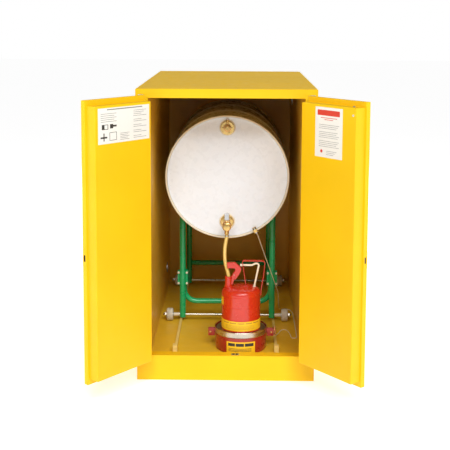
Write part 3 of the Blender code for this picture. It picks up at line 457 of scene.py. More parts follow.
def shell():
    piece("outer_wrap", "cabinet", YELLOW, [wrap()], ("outer_side_left", "outer_side_right", "outer_top"))
    welds = []
    for x in (-SIDE + 0.018, SIDE - 0.018):
        for k in range(9):
            welds.append(dome(0.0004, 0.0025, 0.0004, 0.0045,
                                (x, BACK - 0.0004, 0.07 + k * 0.145), Y, 16))
    piece("outer_back_panel", "cabinet", YELLOW,
          [block((-SIDE, BACK - SHEET, 0), (SIDE, BACK - 0.0004, HEIGHT - SHEET - GAP), 0.0005)] + welds,
          ("outer_back",))
    dress(YELLOW, "base_bottom", "header", "sill", "jamb_left", "jamb_right")
    # painted shade: the liner takes a darker copy of the outside yellow
    dress(INSIDE_SHADED, "liner_left", "liner_right", "liner_back", "liner_top")
    # painted shade: the floor pan takes a darker copy of the outside yellow
    dress(FLOOR_PAINT_SHADED, "floor_pan")
    # painted light: the rails take a lighter, paler copy of the floor paint
    dress(RAIL_PAINT_LIT, "floor_rail_left", "floor_rail_right")
    low, wall = FLOOR + 0.0012, REAR_WALL - 0.0012
    runs = [((-BAY + 0.002, wall, low), (BAY - 0.002, wall, low))]
    for x in (-BAY + 0.0012, BAY - 0.0012):
        runs += [((x, FRONT + 0.055, low), (x, REAR_WALL - 0.001, low)),
                 ((x, wall, FLOOR + 0.002), (x, wall, CEILING - 0.002))]
    bead = [pin(start, end, 0.0024, 10) for start, end in runs]
    # painted shade: the inside seams take the liner's darker yellow
    piece("sealed_inside_seams", "cabinet", INSIDE_SHADED, bead)
    strike = [block((0.026, FRONT + 0.01, SILL_TOP), (0.061, FRONT + 0.033, SILL_TOP + 0.0009), 0.0004),
              block((0.026, FRONT + 0.01, CEILING - 0.0009), (0.061, FRONT + 0.033, CEILING), 0.0004)]
    piece("rod_strikes", "cabinet", ZINC, strike)
    # painted shade: near-black sheets in the strike slots
    slot_shades = []
    for z in (SILL_TOP + 0.0009, CEILING - 0.0013):
        for x in (0.0355, 0.05):
            slot_shades.append(block((x - 0.0048, FRONT + 0.014, z), (x + 0.0048, FRONT + 0.029, z + 0.0004),
                               0.0001))
    piece("rod_strike_slot_shade", "cabinet", RECESS_SHADE, slot_shades)


def side_vent(side, name, z):
    """A threaded socket through both walls with a flange outside, and its plug with a square drive."""
    axis = X * side
    base = (side * (BAY - 0.004), VENT_Y, z)
    reach = SIDE - BAY + 0.004
    r = VENT_RADIUS
    socket = turned([
        (r - 0.004, reach + 0.006), (r + 0.001, reach + 0.006), (r + 0.003, reach + 0.004),
        (r + 0.0035, reach + 0.0025), (r + 0.009, reach + 0.0022), (r + 0.0095, reach + 0.001),
        (r + 0.009, reach), (r, reach), (r, 0.001), (r - 0.001, 0), (r - 0.004, 0),
    ], base, axis, 64, ring=True)
    plug = turned([
        (0, reach + 0.0035), (0.009, reach + 0.0035), (0.01, reach + 0.0045), (0.0235, reach + 0.0055),
        (0.0245, reach + 0.0045), (0.0246, reach - 0.01), (0, reach - 0.01),
    ], base, axis, 64)
    drive = block((side * (SIDE + 0.001), VENT_Y - 0.008, z - 0.008),
                  (side * (SIDE + 0.0098), VENT_Y + 0.008, z + 0.008), 0.001)
    screen = turned([(0, 0.006), (r - 0.004, 0.006), (r - 0.004, 0.0045), (0, 0.0045)], base, axis, 64)
    piece(name + "_socket", "cabinet", ZINC, [socket, plug, drive], (name,))
    rings = [turned([(q + 0.0006, 0.0043), (q + 0.0006, 0.0035), (q - 0.0006, 0.0035), (q - 0.0006, 0.0043)],
                    base, axis, 48, ring=True) for q in (0.005, 0.01, 0.015, 0.02)]
    piece(name + "_screen", "cabinet", STEEL, [screen] + rings)


# ---- doors ----
def hung(side):
    pivot = Vector((side * HINGE_X, HINGE_Y, 0))
    return Matrix.Translation(pivot) @ Matrix.Rotation(side * DOOR_OPEN, 4, "Z") @ Matrix.Translation(-pivot)


def hinge(side, hand):
    """A long hinge with many knuckles, half on the jamb and half on the door."""
    count, r, hole = 47, 0.006, 0.003
    pitch = (DOOR_HIGH - DOOR_LOW) / count
    still, moving = [], []
    for k in range(count):
        low, high = DOOR_LOW + k * pitch + 0.0003, DOOR_LOW + (k + 1) * pitch - 0.0003
        ring = [(r - 0.0005, high), (r, high - 0.0005), (r, low + 0.0005), (r - 0.0005, low), (hole, low),
                (hole, high)]
        knuckle = turned(ring, (side * HINGE_X, HINGE_Y, 0), Z, 20, ring=True)
        if k % 2:
            moving += [knuckle, block((side * (HINGE_X - 0.0074), HINGE_Y + 0.002, low),
                                      (side * (HINGE_X - 0.0035), HINGE_Y + 0.0038, high), 0.0002)]
        else:
            still += [knuckle, block((side * (HINGE_X + 0.0015), HINGE_Y + 0.0045, low),
                                     (side * (HINGE_X + 0.003), HINGE_Y + 0.008, high), 0.0002)]
    still += [
        pin((side * HINGE_X, HINGE_Y, DOOR_LOW), (side * HINGE_X, HINGE_Y, DOOR_HIGH), 0.0027, 16),
        block((side * (HINGE_X + 0.0015), HINGE_Y + 0.007, DOOR_LOW),
              (side * (HINGE_X + 0.003), FRONT - GAP, DOOR_HIGH), 0.0002),
        block((side * (HINGE_X + 0.0015), FRONT - 0.0018, DOOR_LOW),
              (side * (HINGE_X + 0.024), FRONT - GAP, DOOR_HIGH), 0.0003),
    ]
    for k in range(10):
        still.append(dome(0.0012, 0.0022, 0.001, 0.0034,
                            (side * (HINGE_X + 0.015), FRONT - 0.0018, 0.14 + k * 0.12), -Y, 16))
    moving.append(block((side * (DOOR_HUNG + GAP), FRONT - 0.0225, DOOR_LOW),
                        (side * (HINGE_X - 0.0065), FRONT - 0.0035, DOOR_HIGH), 0.0003))
    piece(f"{hand}_hinge_on_frame", "cabinet", ZINC, still, (f"hinge_leaf_{hand}",))
    piece(f"{hand}_hinge_on_door", f"{hand}_door", ZINC, moving, (f"{hand}_door_hinge_leaf",),
          world=hung(side))


def door(side, hand):
    body, place = f"{hand}_door", hung(side)

    def on_door(name, finish, shapes, stands_for=(), slot=None):
        return piece(name, body, finish, shapes, stands_for, slot, place)

    free = DOOR_FREE + (0.0009 if side > 0 else 0)
    outer = block((side * free, DOOR_FACE, DOOR_LOW), (side * DOOR_HUNG, DOOR_REAR, DOOR_HIGH), 0.0022, 4)
    inner = block((side * PAN_FREE, DOOR_REAR - 0.004, PAN_LOW), (side * PAN_HUNG, PAN_FACE, PAN_HIGH),
                  0.003, 4)
    on_door(f"{hand}_door_outer_pan", YELLOW, [outer], (f"{hand}_door_outer",))
    on_door(f"{hand}_door_inner_pan", YELLOW, [inner], (f"{hand}_door_inner",), slot="yellow_liner")
    edge = []
    for z in (0.3, 0.96):
        edge.append(dome(0.0006, 0.0024, 0.0006, 0.0036, (side * 0.006, DOOR_REAR, z), Y, 20))
    on_door(f"{hand}_door_edge_plugs", YELLOW, edge)
    return on_door


def label(side, start, end, high, low):
    """A white plate inside a door, its left edge first as one reads it, and what prints on it."""
    wide, tall = end - start, high - low

    def at(s0, s1, t0, t1):
        return block((side * (start + s0 * wide), PAN_FACE + PRINT_LOW, high - t1 * tall),
                     (side * (start + s1 * wide), PAN_FACE + PRINT_HIGH, high - t0 * tall), 0)

    plate = block((side * start, PAN_FACE - 0.0001, low), (side * end, PAN_FACE + PRINT_LOW, high), 0.0001)
    return plate, at


def latch_plate(near, far, screw, front_lip, rear_lip):
    """The painted plate on a door's free edge, with a window for the centre bolt."""
    plate = []
    for way in (-1, 1):
        plate.append(block((near, DOOR_FACE + 0.002, LATCH_Z + way * 0.034),
                           (far, DOOR_REAR - 0.002, LATCH_Z + way * 0.0135), 0.0003))
        plate.append(dome(0.0002, 0.0022, 0.0001, 0.0032, (screw, FRONT - 0.0125, LATCH_Z + way * 0.025),
                          X * copysign(1, -far), 16))
    for y0, y1 in ((DOOR_FACE + 0.002, DOOR_FACE + front_lip), (DOOR_REAR - rear_lip, DOOR_REAR - 0.002)):
        plate.append(block((near, y0, LATCH_Z - 0.014), (far, y1, LATCH_Z + 0.014), 0.0003))
    return plate


def left_door():
    on_door = door(-1, "left")
    plate, at = label(-1, 0.026, 0.322, 1.243, 1.098)
    on_door("left_label", LABEL, [plate])
    grey = [at(0.17, 0.86, 0.035, 0.065)]
    grey += [at(0.05, 0.35 - 0.04 * (k % 2), 0.155 + k * 0.055, 0.168 + k * 0.055) for k in range(5)]
    grey += [at(0.68, 0.94 - 0.05 * (k % 3), 0.13 + k * 0.052, 0.142 + k * 0.052)
             for k in range(16) if k not in (4, 7, 10, 13)]
    grey += [at(0.42, 0.6 - 0.03 * (k % 2), 0.74 + k * 0.045, 0.752 + k * 0.045) for k in range(5)]
    on_door("left_label_lines", PRINT_GREY, grey)
    dark = [at(0.07, 0.12, 0.46, 0.6), at(0.12, 0.185, 0.46, 0.475), at(0.12, 0.185, 0.585, 0.6),
            at(0.178, 0.19, 0.46, 0.6)]
    dark += [at(0.225, 0.285, 0.46, 0.58), at(0.285, 0.35, 0.49, 0.54)]
    dark += [at(0.1, 0.118, 0.7, 0.92), at(0.045, 0.17, 0.8, 0.845)]
    dark += [at(0.215, 0.222, 0.69, 0.92), at(0.345, 0.352, 0.69, 0.92), at(0.215, 0.352, 0.69, 0.702),
             at(0.215, 0.352, 0.908, 0.92)]
    on_door("left_label_signs", PRINT_DARK, dark)
    plate = latch_plate(-0.0002, -0.0015, -0.0003, 0.0068, 0.005)
    on_door("left_strike", YELLOW, plate, ("left_strike_plate",))
    # painted shade: a near-black sheet in the window for the centre bolt
    on_door("left_strike_pocket", RECESS_SHADE, [block((-0.0013, DOOR_FACE + 0.005, LATCH_Z - 0.015),
                                               (-0.0017, DOOR_REAR - 0.003, LATCH_Z + 0.015), 0)])


def right_door():
    on_door = door(1, "right")
    plate, at = label(1, 0.247, 0.086, 1.243, 1.036)
    on_door("right_label", LABEL, [plate])
    dot = turned([(0, PRINT_HIGH), (0.0068, PRINT_HIGH), (0.0068, PRINT_LOW), (0, PRINT_LOW)],
                 (0.247 - 0.24 * 0.161, PAN_FACE, 1.243 - 0.88 * 0.207), Y, 24)
    red = [at(0.08, 0.9, 0.055, 0.165), at(0.2, 0.8, 0.205, 0.217), at(0.34, 0.66, 0.24, 0.252), dot]
    on_door("right_label_band", PRINT_RED, red)
    grey = [at(0.14, 0.88 - 0.05 * (k % 3), 0.345 + k * 0.036, 0.353 + k * 0.036)
            for k in range(13) if k not in (3, 8)]
    grey += [at(0.42, 0.8 - 0.06 * k, 0.865 + k * 0.034, 0.873 + k * 0.034) for k in range(3)]
    on_door("right_label_lines", PRINT_GREY, grey)
    bumper = turned([(0, 0.004), (0.003, 0.0038), (0.0046, 0.002), (0.0048, 0), (0, 0)],
                    (0.026, PAN_FACE - 0.0002, 1.222), Y, 24)
    on_door("right_door_bumper", RUBBER, [bumper])

    plate = latch_plate(0.0004, 0.0026, 0.0005, 0.0078, 0.0048)
    on_door("right_latch_front", YELLOW, plate)

    y = DOOR_FACE
    rose = outline([(LATCH_X + dx, dz) for dx, dz in (
        (-0.013, -0.062), (0.013, -0.062), (0.02, -0.055), (0.02, 0.018), (0.012, 0.026), (-0.012, 0.026),
        (-0.02, 0.018), (-0.02, -0.055),
    )], 0.0035, upright(0, y - GAP, LATCH_Z), 0.0008)
    bosses = [turned([(0.0096, 0.0052), (0.0125, 0.0052), (0.014, 0.0036), (0.014, 0.002), (0.0096, 0.002)],
                     (LATCH_X, y - 0.0005, LOCK_Z), -Y, 32, ring=True)]
    on_door("handle_plate", BLACK, [rose] + bosses, ("handle_rose",))
    screws = []
    for dx, dz in ((-0.0145, 0.014), (0.0145, 0.014), (-0.0145, -0.052), (0.0145, -0.052)):
        screws.append(dome(0.0012, 0.0016, 0.0011, 0.003, (LATCH_X + dx, y - 0.0038, LATCH_Z + dz), -Y, 16))
    on_door("handle_plate_screws", STEEL, screws)

    lever = outline([(-0.009, -0.0115), (0.004, -0.012), (0.03, -0.0098), (0.07, -0.009), (0.088, -0.0088),
                     (0.0945, -0.005), (0.0945, 0.005), (0.088, 0.0088), (0.07, 0.009), (0.03, 0.0098),
                     (0.004, 0.012), (-0.009, 0.0115), (-0.0125, 0.007), (-0.0125, -0.007)], 0.011,
                    upright(LATCH_X, y - 0.0125, LATCH_Z), 0.0022)
    neck = turned([(0, 0.013), (0.0085, 0.013), (0.01, 0.009), (0.011, 0.004), (0.0125, 0.0038),
                   (0.0125, 0.002), (0, 0.002)],
                  (LATCH_X, y, LATCH_Z), -Y, 32)
    piece("handle_lever", "handle", BLACK, [lever, neck], ("handle",), world=hung(1))
    lock = turned([(0, 0.0064), (0.007, 0.0064), (0.0092, 0.0056), (0.0094, 0.004), (0.0094, -0.01),
                   (0, -0.01)],
                  (LATCH_X, y - 0.001, LOCK_Z), -Y, 32)
    piece("lock_barrel", "lock", STEEL, [lock], ("lock_cylinder",), world=hung(1))
    # painted shade: a near-black sheet inside the keyhole
    piece("lock_keyhole_shade", "lock", RECESS_SHADE, [block((LATCH_X - 0.0009, y - 0.0077, LOCK_Z - 0.0045),
                                               (LATCH_X + 0.0009, y - 0.0072, LOCK_Z + 0.0045), 0)],
          world=hung(1))
    dress(ZINC, "latch_rod_top", "latch_rod_bottom", edge=0.001)
    dress(BLACK, "centre_bolt")


# ---- drum ----
def drum():
    front, roll = DRUM_FRONT, 0.0042   # the chime's rolled edge

    def chime(at, way):
        return [(DRUM_RADIUS - roll + roll * cos(a), at + way * (roll + roll * sin(a)))
                for a in (radians(q) for q in range(-170, 61, 23))]

    def hoop(at):
        return [(DRUM_BODY + (DRUM_RADIUS - DRUM_BODY) * 0.5 * (1 + cos(pi * t)), at + 0.016 * t)
                for t in ((k - 6) / 6 for k in range(13))]

    def bead(at):
        return [(DRUM_BODY, at - 0.008), (DRUM_BODY + 0.0012, at), (DRUM_BODY, at + 0.008)]

    body = [(DRUM_BODY - 0.001, 0.0125), (DRUM_BODY, 0.02)]
    for at in (DRUM_LENGTH / 3, 2 * DRUM_LENGTH / 3):
        body += bead(at - 0.075) + bead(at - 0.05) + hoop(at) + bead(at + 0.05) + bead(at + 0.075)
    body += [(DRUM_BODY, DRUM_LENGTH - 0.02), (DRUM_BODY - 0.001, DRUM_LENGTH - 0.0125)]
    side = [(r, -h) for r, h in body]
    inside = [(DRUM_BODY - 0.003, -DRUM_LENGTH + 0.014), (DRUM_BODY - 0.003, -0.014)]
    piece("drum_side", "cradle", WHITE, [turned(side + inside, (0, front, DRUM_Z), -Y, 128, ring=True)],
          ("drum_shell",), soft=55)
    rims = []
    for at, way in ((0, 1), (DRUM_LENGTH, -1)):
        loop = [(r, -h) for r, h in chime(at, way)]
        loop += [(DRUM_BODY - 0.0005, -(at + way * 0.013)), (DRUM_BODY - 0.003, -(at + way * 0.013))]
        rims.append(turned(loop, (0, front, DRUM_Z), -Y, 128, ring=True))
    piece("drum_chimes", "cradle", CREAM_RIM, rims, soft=60)

    def head_face(depth, way):
        r = DRUM_BODY - 0.0035
        rows = [(0, 0), (0.18, 0), (0.184, 0.0012), (0.196, 0.0012), (0.2, 0), (r - 0.014, 0),
                (r - 0.009, -0.0012), (r - 0.003, 0.0008), (r, 0.0014), (r, -0.003), (0, -0.0018)]
        return turned(rows, (0, depth, DRUM_Z), -Y * way, 128)

    piece("drum_front_head", "cradle", WHITE, [head_face(HEAD_Y, 1)], ("drum_head",), soft=55)
    piece("drum_rear_head", "cradle", WHITE, [head_face(front + DRUM_LENGTH - 0.0125, -1)], soft=55)
    seam = block((-0.003, front + 0.016, DRUM_Z + DRUM_BODY - 0.0008),
                 (0.003, front + DRUM_LENGTH - 0.016, DRUM_Z + DRUM_BODY + 0.0004), 0.0003)
    piece("drum_seam", "cradle", WHITE, [seam])
    rings = []
    for z in (VENT_Z, FAUCET_Z):
        rings.append(turned([(0.0275, 0.003), (0.035, 0.003), (0.0375, 0.001), (0.039, -0.0005),
                             (0.0275, -0.0005)],
                            (0, HEAD_Y, z), -Y, 48, ring=True))
    piece("bung_flanges", "cradle", CREAM_RIM, rings)


def drum_vent():
    face = HEAD_Y - GAP
    disc = turned([
        (0, 0.0215), (0.0075, 0.0215), (0.009, 0.02), (0.01, 0.014), (0.015, 0.0125), (0.0235, 0.0118),
        (0.029, 0.0125), (0.0318, 0.0118), (0.033, 0.0095), (0.033, 0.004), (0.0315, 0.0032), (0, 0.0032),
    ], (0, face, VENT_Z), -Y, 64)
    y = HEAD_Y - 0.009
    top = VENT_Z + 0.0375
    stem = turned([(0.004, top), (0.0055, top), (0.006, top - 0.001), (0.006, top - 0.006),
                   (0.007, top - 0.0065),
                   (0.007, top - 0.009), (0.0058, top - 0.0095), (0.0058, VENT_Z + 0.02), (0, VENT_Z + 0.02),
                   (0, top - 0.012), (0.004, top - 0.012)], (0, y, 0), Z, 32)
    screws = [nut((dx, HEAD_Y - 0.011, VENT_Z + dz), -Y, 0.007, 0.003)
              for dx, dz in ((-0.021, 0), (0.021, 0), (0, -0.021))]
    piece("vent_brass", "cradle", BRASS, [disc, stem] + screws, ("drum_vent",))
    cap = turned([(0, top + 0.0058), (0.0042, top + 0.0056), (0.006, top + 0.0043), (0.0062, top + 0.001),
                  (0.0057, top + GAP),
                  (0.003, top + GAP), (0.0028, top - 0.009), (0, top - 0.0095)], (0, y, 0), Z, 32)
    piece("vent_cap", "vent_poppet", ZINC, [cap], ("vent_poppet",))
    ring = turned([(0.016, 0.015), (0.0172, 0.0138), (0.016, 0.0126), (0.0148, 0.0138)], (0, face, VENT_Z),
                  -Y, 48, ring=True)
    piece("vent_inner_ring", "cradle", COPPER, [ring])


def faucet():
    z = FAUCET_Z
    barrel = turned([
        (0, 0), (0.014, 0), (0.0165, 0.0015), (0.0175, 0.006), (0.02, 0.0075), (0.02, 0.014),
        (0.018, 0.0155),
        (0.0175, 0.05), (0.02, 0.052), (0.02, 0.064), (0.018, 0.066), (0.018, 0.092), (0, 0.092),
    ], (0, FAUCET_Y - 0.02, z), Y, 48)
    collar = nut((0, HEAD_Y - 0.0125, z), Y, 0.056, 0.012, sides=6)
    flange = turned([(0, 0.004), (0.031, 0.004), (0.032, 0.003), (0.032, 0.0005), (0, 0.0005)],
                    (0, HEAD_Y, z), -Y, 48)
    outlet = turned([
        (0.0065, 0.034), (0.0098, 0.034), (0.0108, 0.033), (0.0108, 0.024), (0.01, 0.023), (0.011, 0.022),
        (0.011, 0.014), (0.0125, 0.01), (0.0125, 0), (0, 0), (0, 0.03), (0.0065, 0.03),
    ], (0, FAUCET_Y, z), -Z, 40)
    bonnet = turned([(0, 0.0262), (0.006, 0.0262), (0.0085, 0.025), (0.01, 0.023), (0.01, 0.02),
                     (0.0085, 0.019), (0.0095, 0.015), (0.012, 0.01), (0, 0.01)], (0, FAUCET_Y, z), Z, 40)
    piece("faucet_brass", "cradle", BRASS, [barrel, collar, flange, outlet, bonnet], ("faucet_body",))
    pivot = z + 0.036
    lever = outline([(-0.01, -0.006), (0.01, -0.006), (0.0105, 0.008), (0.0115, 0.024), (0.01, 0.028),
                     (-0.01, 0.028), (-0.0115, 0.024), (-0.0105, 0.008)], 0.005,
                    upright(0, FAUCET_Y + 0.0025, pivot), 0.0012)
    tab = block((-0.0105, FAUCET_Y - 0.0195, pivot + 0.0225), (0.0105, FAUCET_Y + 0.002, pivot + 0.0275),
                0.0016, 3)
    axle = pin((-0.0118, FAUCET_Y, pivot), (0.0118, FAUCET_Y, pivot), 0.0026, 16)
    piece("faucet_pull", "faucet_lever", ZINC, [lever, tab, axle], ("faucet_lever",))


# ---- cradle ----
def cradle():
    for side, hand in ((-1, "left"), (1, "right")):
        x = side * LEG_X
        corners = [(x, LEGS[0], LEG_LOW), (x, LEGS[0], TOP_Z), (x, LEGS[1], TOP_Z), (x, LEGS[1], LEG_LOW)]
        caps = [turned([(0, -0.001), (0.012, -0.001), (0.014, 0), (0.014, 0.003), (0, 0.003)],
                       (x, y, LEG_LOW + 0.0012), Z, 32)
                for y in LEGS]
        piece(f"cradle_tube_{hand}", "cradle", GREEN, [swept(rounded(corners, 0.06, 14), TUBE, 32)],
              (f"cradle_side_{hand}",))
        piece(f"cradle_tube_caps_{hand}", "cradle", RUBBER, caps)
    low, high = CLAMP_Z - CLAMP_HALF, CLAMP_Z + CLAMP_HALF
    y, x = LEGS[0] + CROSS_BACK, LEG_X - 0.006
    route = [(-x, y, high), (-x, y, CROSS_LOW_Z), (x, y, CROSS_LOW_Z), (x, y, high)]
    green = [swept(rounded(route, 0.062, 14), CROSS_TUBE, 32)]
    nuts = []
    for side in (-1, 1):
        x, y = side * LEG_X, LEGS[0]
        left, right = x - CLAMP_REACH, x + CLAMP_REACH

        def arc(gap, angles):
            return [(x + (TUBE + gap) * cos(radians(q)), y + (TUBE + gap) * sin(radians(q))) for q in angles]

        loop = [(left, y - 0.0045)] + arc(0.0028, range(-164, -15, 8)) + [(right, y - 0.0045)]
        loop += [(right, y - 0.0015)] + arc(0.0004, range(-14, -167, -8)) + [(left, y - 0.0015)]
        green.append(outline(loop, 2 * CLAMP_HALF, Matrix.Translation((0, 0, low)), 0.0006))
        green.append(block((left, y + TUBE + 0.0004, low), (right, y + TUBE + 0.0034, high), 0.001))
        for dx in (-0.0205, 0.0205):
            for z in (CLAMP_Z - 0.027, CLAMP_Z + 0.027):
                spot = (x + dx, y - 0.0044, z)
                nuts += [turned([(0, 0.001), (0.0056, 0.001), (0.006, 0.0005), (0.006, 0), (0, 0)], spot,
                                -Y, 24),
                         nut((x + dx, y - 0.0053, z), -Y, 0.01, 0.0042),
                         pin((x + dx, y - 0.011, z), (x + dx, y + TUBE + 0.0065, z), 0.0028, 12),
                         nut((x + dx, y + TUBE + 0.0034, z), Y, 0.0095, 0.003)]
    piece("cradle_cross_tube_front", "cradle", GREEN, green, ("cross_tube_front",))
    piece("cradle_clamp_bolts", "cradle", CREAM_RIM, nuts, slot="zinc")
    end = LEG_X - TUBE - 0.0006
    bar = [Vector((end * (k / 4 - 1), LEGS[1], CROSS_REAR_Z)) for k in range(9)]
    beads = [turned([(CROSS_TUBE, 0.0035), (0.0152, 0.002), (0.0158, 0), (CROSS_TUBE, 0)],
                    (side * end, LEGS[1], CROSS_REAR_Z), -X * side, 28, ring=True) for side in (-1, 1)]
    piece("cradle_cross_tube_rear", "cradle", GREEN, [swept(bar, CROSS_TUBE, 32)] + beads,
          ("cross_tube_rear",))


def running_gear():
    outer, inner = WHEEL_X + WHEEL_W / 2 + 0.0005, WHEEL_X - WHEEL_W / 2 - 0.0005
    half, bore, r = WHEEL_W / 2, AXLE + 0.0006, WHEEL_R
    for place, y in (("front", LEGS[0]), ("rear", LEGS[1])):
        steel = [pin((-outer - 0.01, y, AXLE_Z), (outer + 0.01, y, AXLE_Z), AXLE, 32)]
        collars = []
        for side, hand in ((-1, "left"), (1, "right")):
            axis = X * side
            reach = inner - LEG_X - TUBE - 0.0015
            collars.append(turned([(AXLE, reach), (0.008, reach), (0.0085, reach - 0.001), (0.0085, 0.001),
                                   (0.008, 0), (AXLE, 0)],
                                  (side * (inner - reach), y, AXLE_Z), axis, 32, ring=True))
            steel.append(nut((side * outer, y, AXLE_Z), axis, 0.019, 0.0085, bore=0.004))
            steel.append(turned([(0, 0.0105), (0.003, 0.0098), (0.0068, 0.0065), (0.0086, 0), (0, 0)],
                                (side * (outer + 0.0078), y, AXLE_Z), axis, 32))
            steel.append(turned([(AXLE, 0.0008), (0.015, 0.0008), (0.0155, 0.0004), (0.015, 0), (AXLE, 0)],
                                (side * (outer - 0.0003), y, AXLE_Z), axis, 32, ring=True))
            tread = [(0.0195, half - 0.003), (r - 0.0055, half - 0.001), (r - 0.0025, half - 0.0025),
                     (r - 0.0006, half - 0.006), (r, half - 0.01), (r, 0.0022), (r - 0.0022, 0.0012),
                     (r - 0.0022, -0.0012), (r, -0.0022), (r, 0.01 - half), (r - 0.0006, 0.006 - half),
                     (r - 0.0025, 0.0025 - half), (r - 0.0055, 0.001 - half), (0.0195, 0.003 - half)]
            hub = [(bore, half), (0.011, half), (0.012, half - 0.001), (0.0122, half - 0.004),
                   (0.017, half - 0.006), (0.0197, half - 0.003),
                   (0.0197, 0.003 - half), (0.017, 0.006 - half), (0.0122, 0.004 - half),
                   (0.012, 0.001 - half), (0.011, -half), (bore, -half)]
            centre = (side * WHEEL_X, y, AXLE_Z)
            name = f"wheel_{place}_{hand}"
            piece(name + "_tread", name, RUBBER, [turned(tread, centre, X, 56, ring=True)], (name,))
            bolts = [dome(0.0012, 0.0014, 0.001, 0.0022,
                            (side * (WHEEL_X + half - 0.0058), y + 0.0148 * cos(a),
                             AXLE_Z + 0.0148 * sin(a)), axis, 12)
                     for a in (pi / 2 * k + 0.4 for k in range(4))]
            piece(name + "_hub", name, ZINC, [turned(hub, centre, X, 56, ring=True)] + bolts)
        piece(f"axle_{place}_steel", "cradle", STEEL, steel, (f"axle_{place}",))
        piece(f"axle_{place}_spacers", "cradle", CREAM_RIM, collars, slot="zinc")


# ---- pan and can ----
def drip_pan():
    centre = (CAN_X, CAN_Y, 0)
    wall, low = PAN_R - 0.0025, FLOOR + GAP
    # painted shade: the pan's bucket and lugs take the darker copy of the red
    piece("pan_bucket", "cabinet", PAN_RED_SHADED, [turned([
        (0, low + 0.0015), (wall - 0.006, low + 0.0015), (wall - 0.004, low + 0.0035),
        (wall - 0.0015, PAN_RIM - 0.001), (wall, PAN_RIM - 0.001), (wall - 0.0006, low + 0.03),
        (wall - 0.0016, low + 0.004), (wall - 0.0045, low), (0, low),
    ], centre, Z, 96)], ("can_pan",))
    plate = turned([
        (0, CAN_LOW - GAP - 0.0006), (0.094, CAN_LOW - GAP - 0.0006), (0.096, CAN_LOW - GAP),
        (wall - 0.01, CAN_LOW - GAP), (wall - 0.0045, CAN_LOW + 0.002), (wall - 0.004, CAN_LOW + 0.0014),
        (wall - 0.006, CAN_LOW - 0.0018), (0, CAN_LOW - 0.0018),
    ], centre, Z, 96)
    piece("pan_shelf", "cabinet", ZINC, [plate], ("pan_plate",))
    rim = turned([
        (PAN_R - 0.0019, PAN_RIM), (PAN_R - 0.0002, PAN_RIM + 0.0002), (PAN_R + 0.0006, PAN_RIM - 0.0012),
        (PAN_R, PAN_RIM - 0.0035), (PAN_R, PAN_RIM - 0.02), (PAN_R + 0.0006, PAN_RIM - 0.0225),
        (PAN_R - 0.0002, PAN_RIM - 0.024), (PAN_R - 0.0019, PAN_RIM - 0.024),
    ], centre, Z, 96, ring=True)
    lugs, bolts = [], []
    for side in (-1, 1):
        for dy in (-0.0055, 0.0055):
            lugs.append(block((CAN_X + side * (PAN_R - 0.001), CAN_Y + dy - 0.0016, LUG_Z - 0.018),
                              (CAN_X + side * LUG_REACH, CAN_Y + dy + 0.0016, LUG_Z + 0.018), 0.001, 3))
        bolts.append(pin((CAN_X + side * 0.14, CAN_Y - 0.0085, LUG_Z),
                         (CAN_X + side * 0.14, CAN_Y + 0.0085, LUG_Z), 0.003, 16))
        bolts.append(nut((CAN_X + side * 0.14, CAN_Y - 0.0072, LUG_Z), -Y, 0.009, 0.0018))
    piece("pan_rim_band", "cabinet", STEEL, [rim], ("pan_rim",))
    piece("pan_lugs", "cabinet", PAN_RED_SHADED, lugs)
    piece("pan_lug_bolts", "cabinet", BRASS, bolts)
    label = arc_patch((CAN_X, CAN_Y), wall - 0.0003, 0.0006, low + 0.004, low + 0.058, -123.0, -57.0, 32)
    piece("pan_label", "cabinet", BAND, [label])
    strip = [arc_patch((CAN_X, CAN_Y), wall + 0.0003, 0.0002, low + 0.038, low + 0.052, start, end, 16)
             for start, end in ((-119.0, -103.0), (-101.0, -83.0), (-81.0, -61.0))]
    strip += [arc_patch((CAN_X, CAN_Y), wall + 0.0003, 0.0002, low + z, low + z + 0.002, -118.0, -66.0, 24)
              for z in (0.014, 0.02, 0.026)]
    piece("pan_label_marks", "cabinet", PRINT_DARK, strip)
    end = CAN_X + LUG_REACH + GAP
    clamp = [block((end, CAN_Y - 0.008, LUG_Z - 0.015), (end + 0.0035, CAN_Y + 0.008, LUG_Z + 0.015),
                   0.0012, 3),
             block((end + 0.0065, CAN_Y - 0.008, LUG_Z - 0.015), (end + 0.01, CAN_Y + 0.008, LUG_Z + 0.015),
                   0.0012, 3),
             block((end, CAN_Y - 0.008, LUG_Z - 0.015), (end + 0.01, CAN_Y + 0.008, LUG_Z - 0.01),
                   0.0012, 3),
             block((end, CAN_Y - 0.008, LUG_Z + 0.009), (end + 0.01, CAN_Y + 0.008, LUG_Z + 0.015),
                   0.0012, 3),
             pin((end + 0.005, CAN_Y, LUG_Z), (end + 0.005, CAN_Y, LUG_Z + 0.023), 0.0028, 16),
             nut((end + 0.005, CAN_Y, LUG_Z + 0.021), Z, 0.009, 0.0048)]
    piece("pan_earth_clamp", "cabinet", COPPER, clamp, ("pan_clamp",))


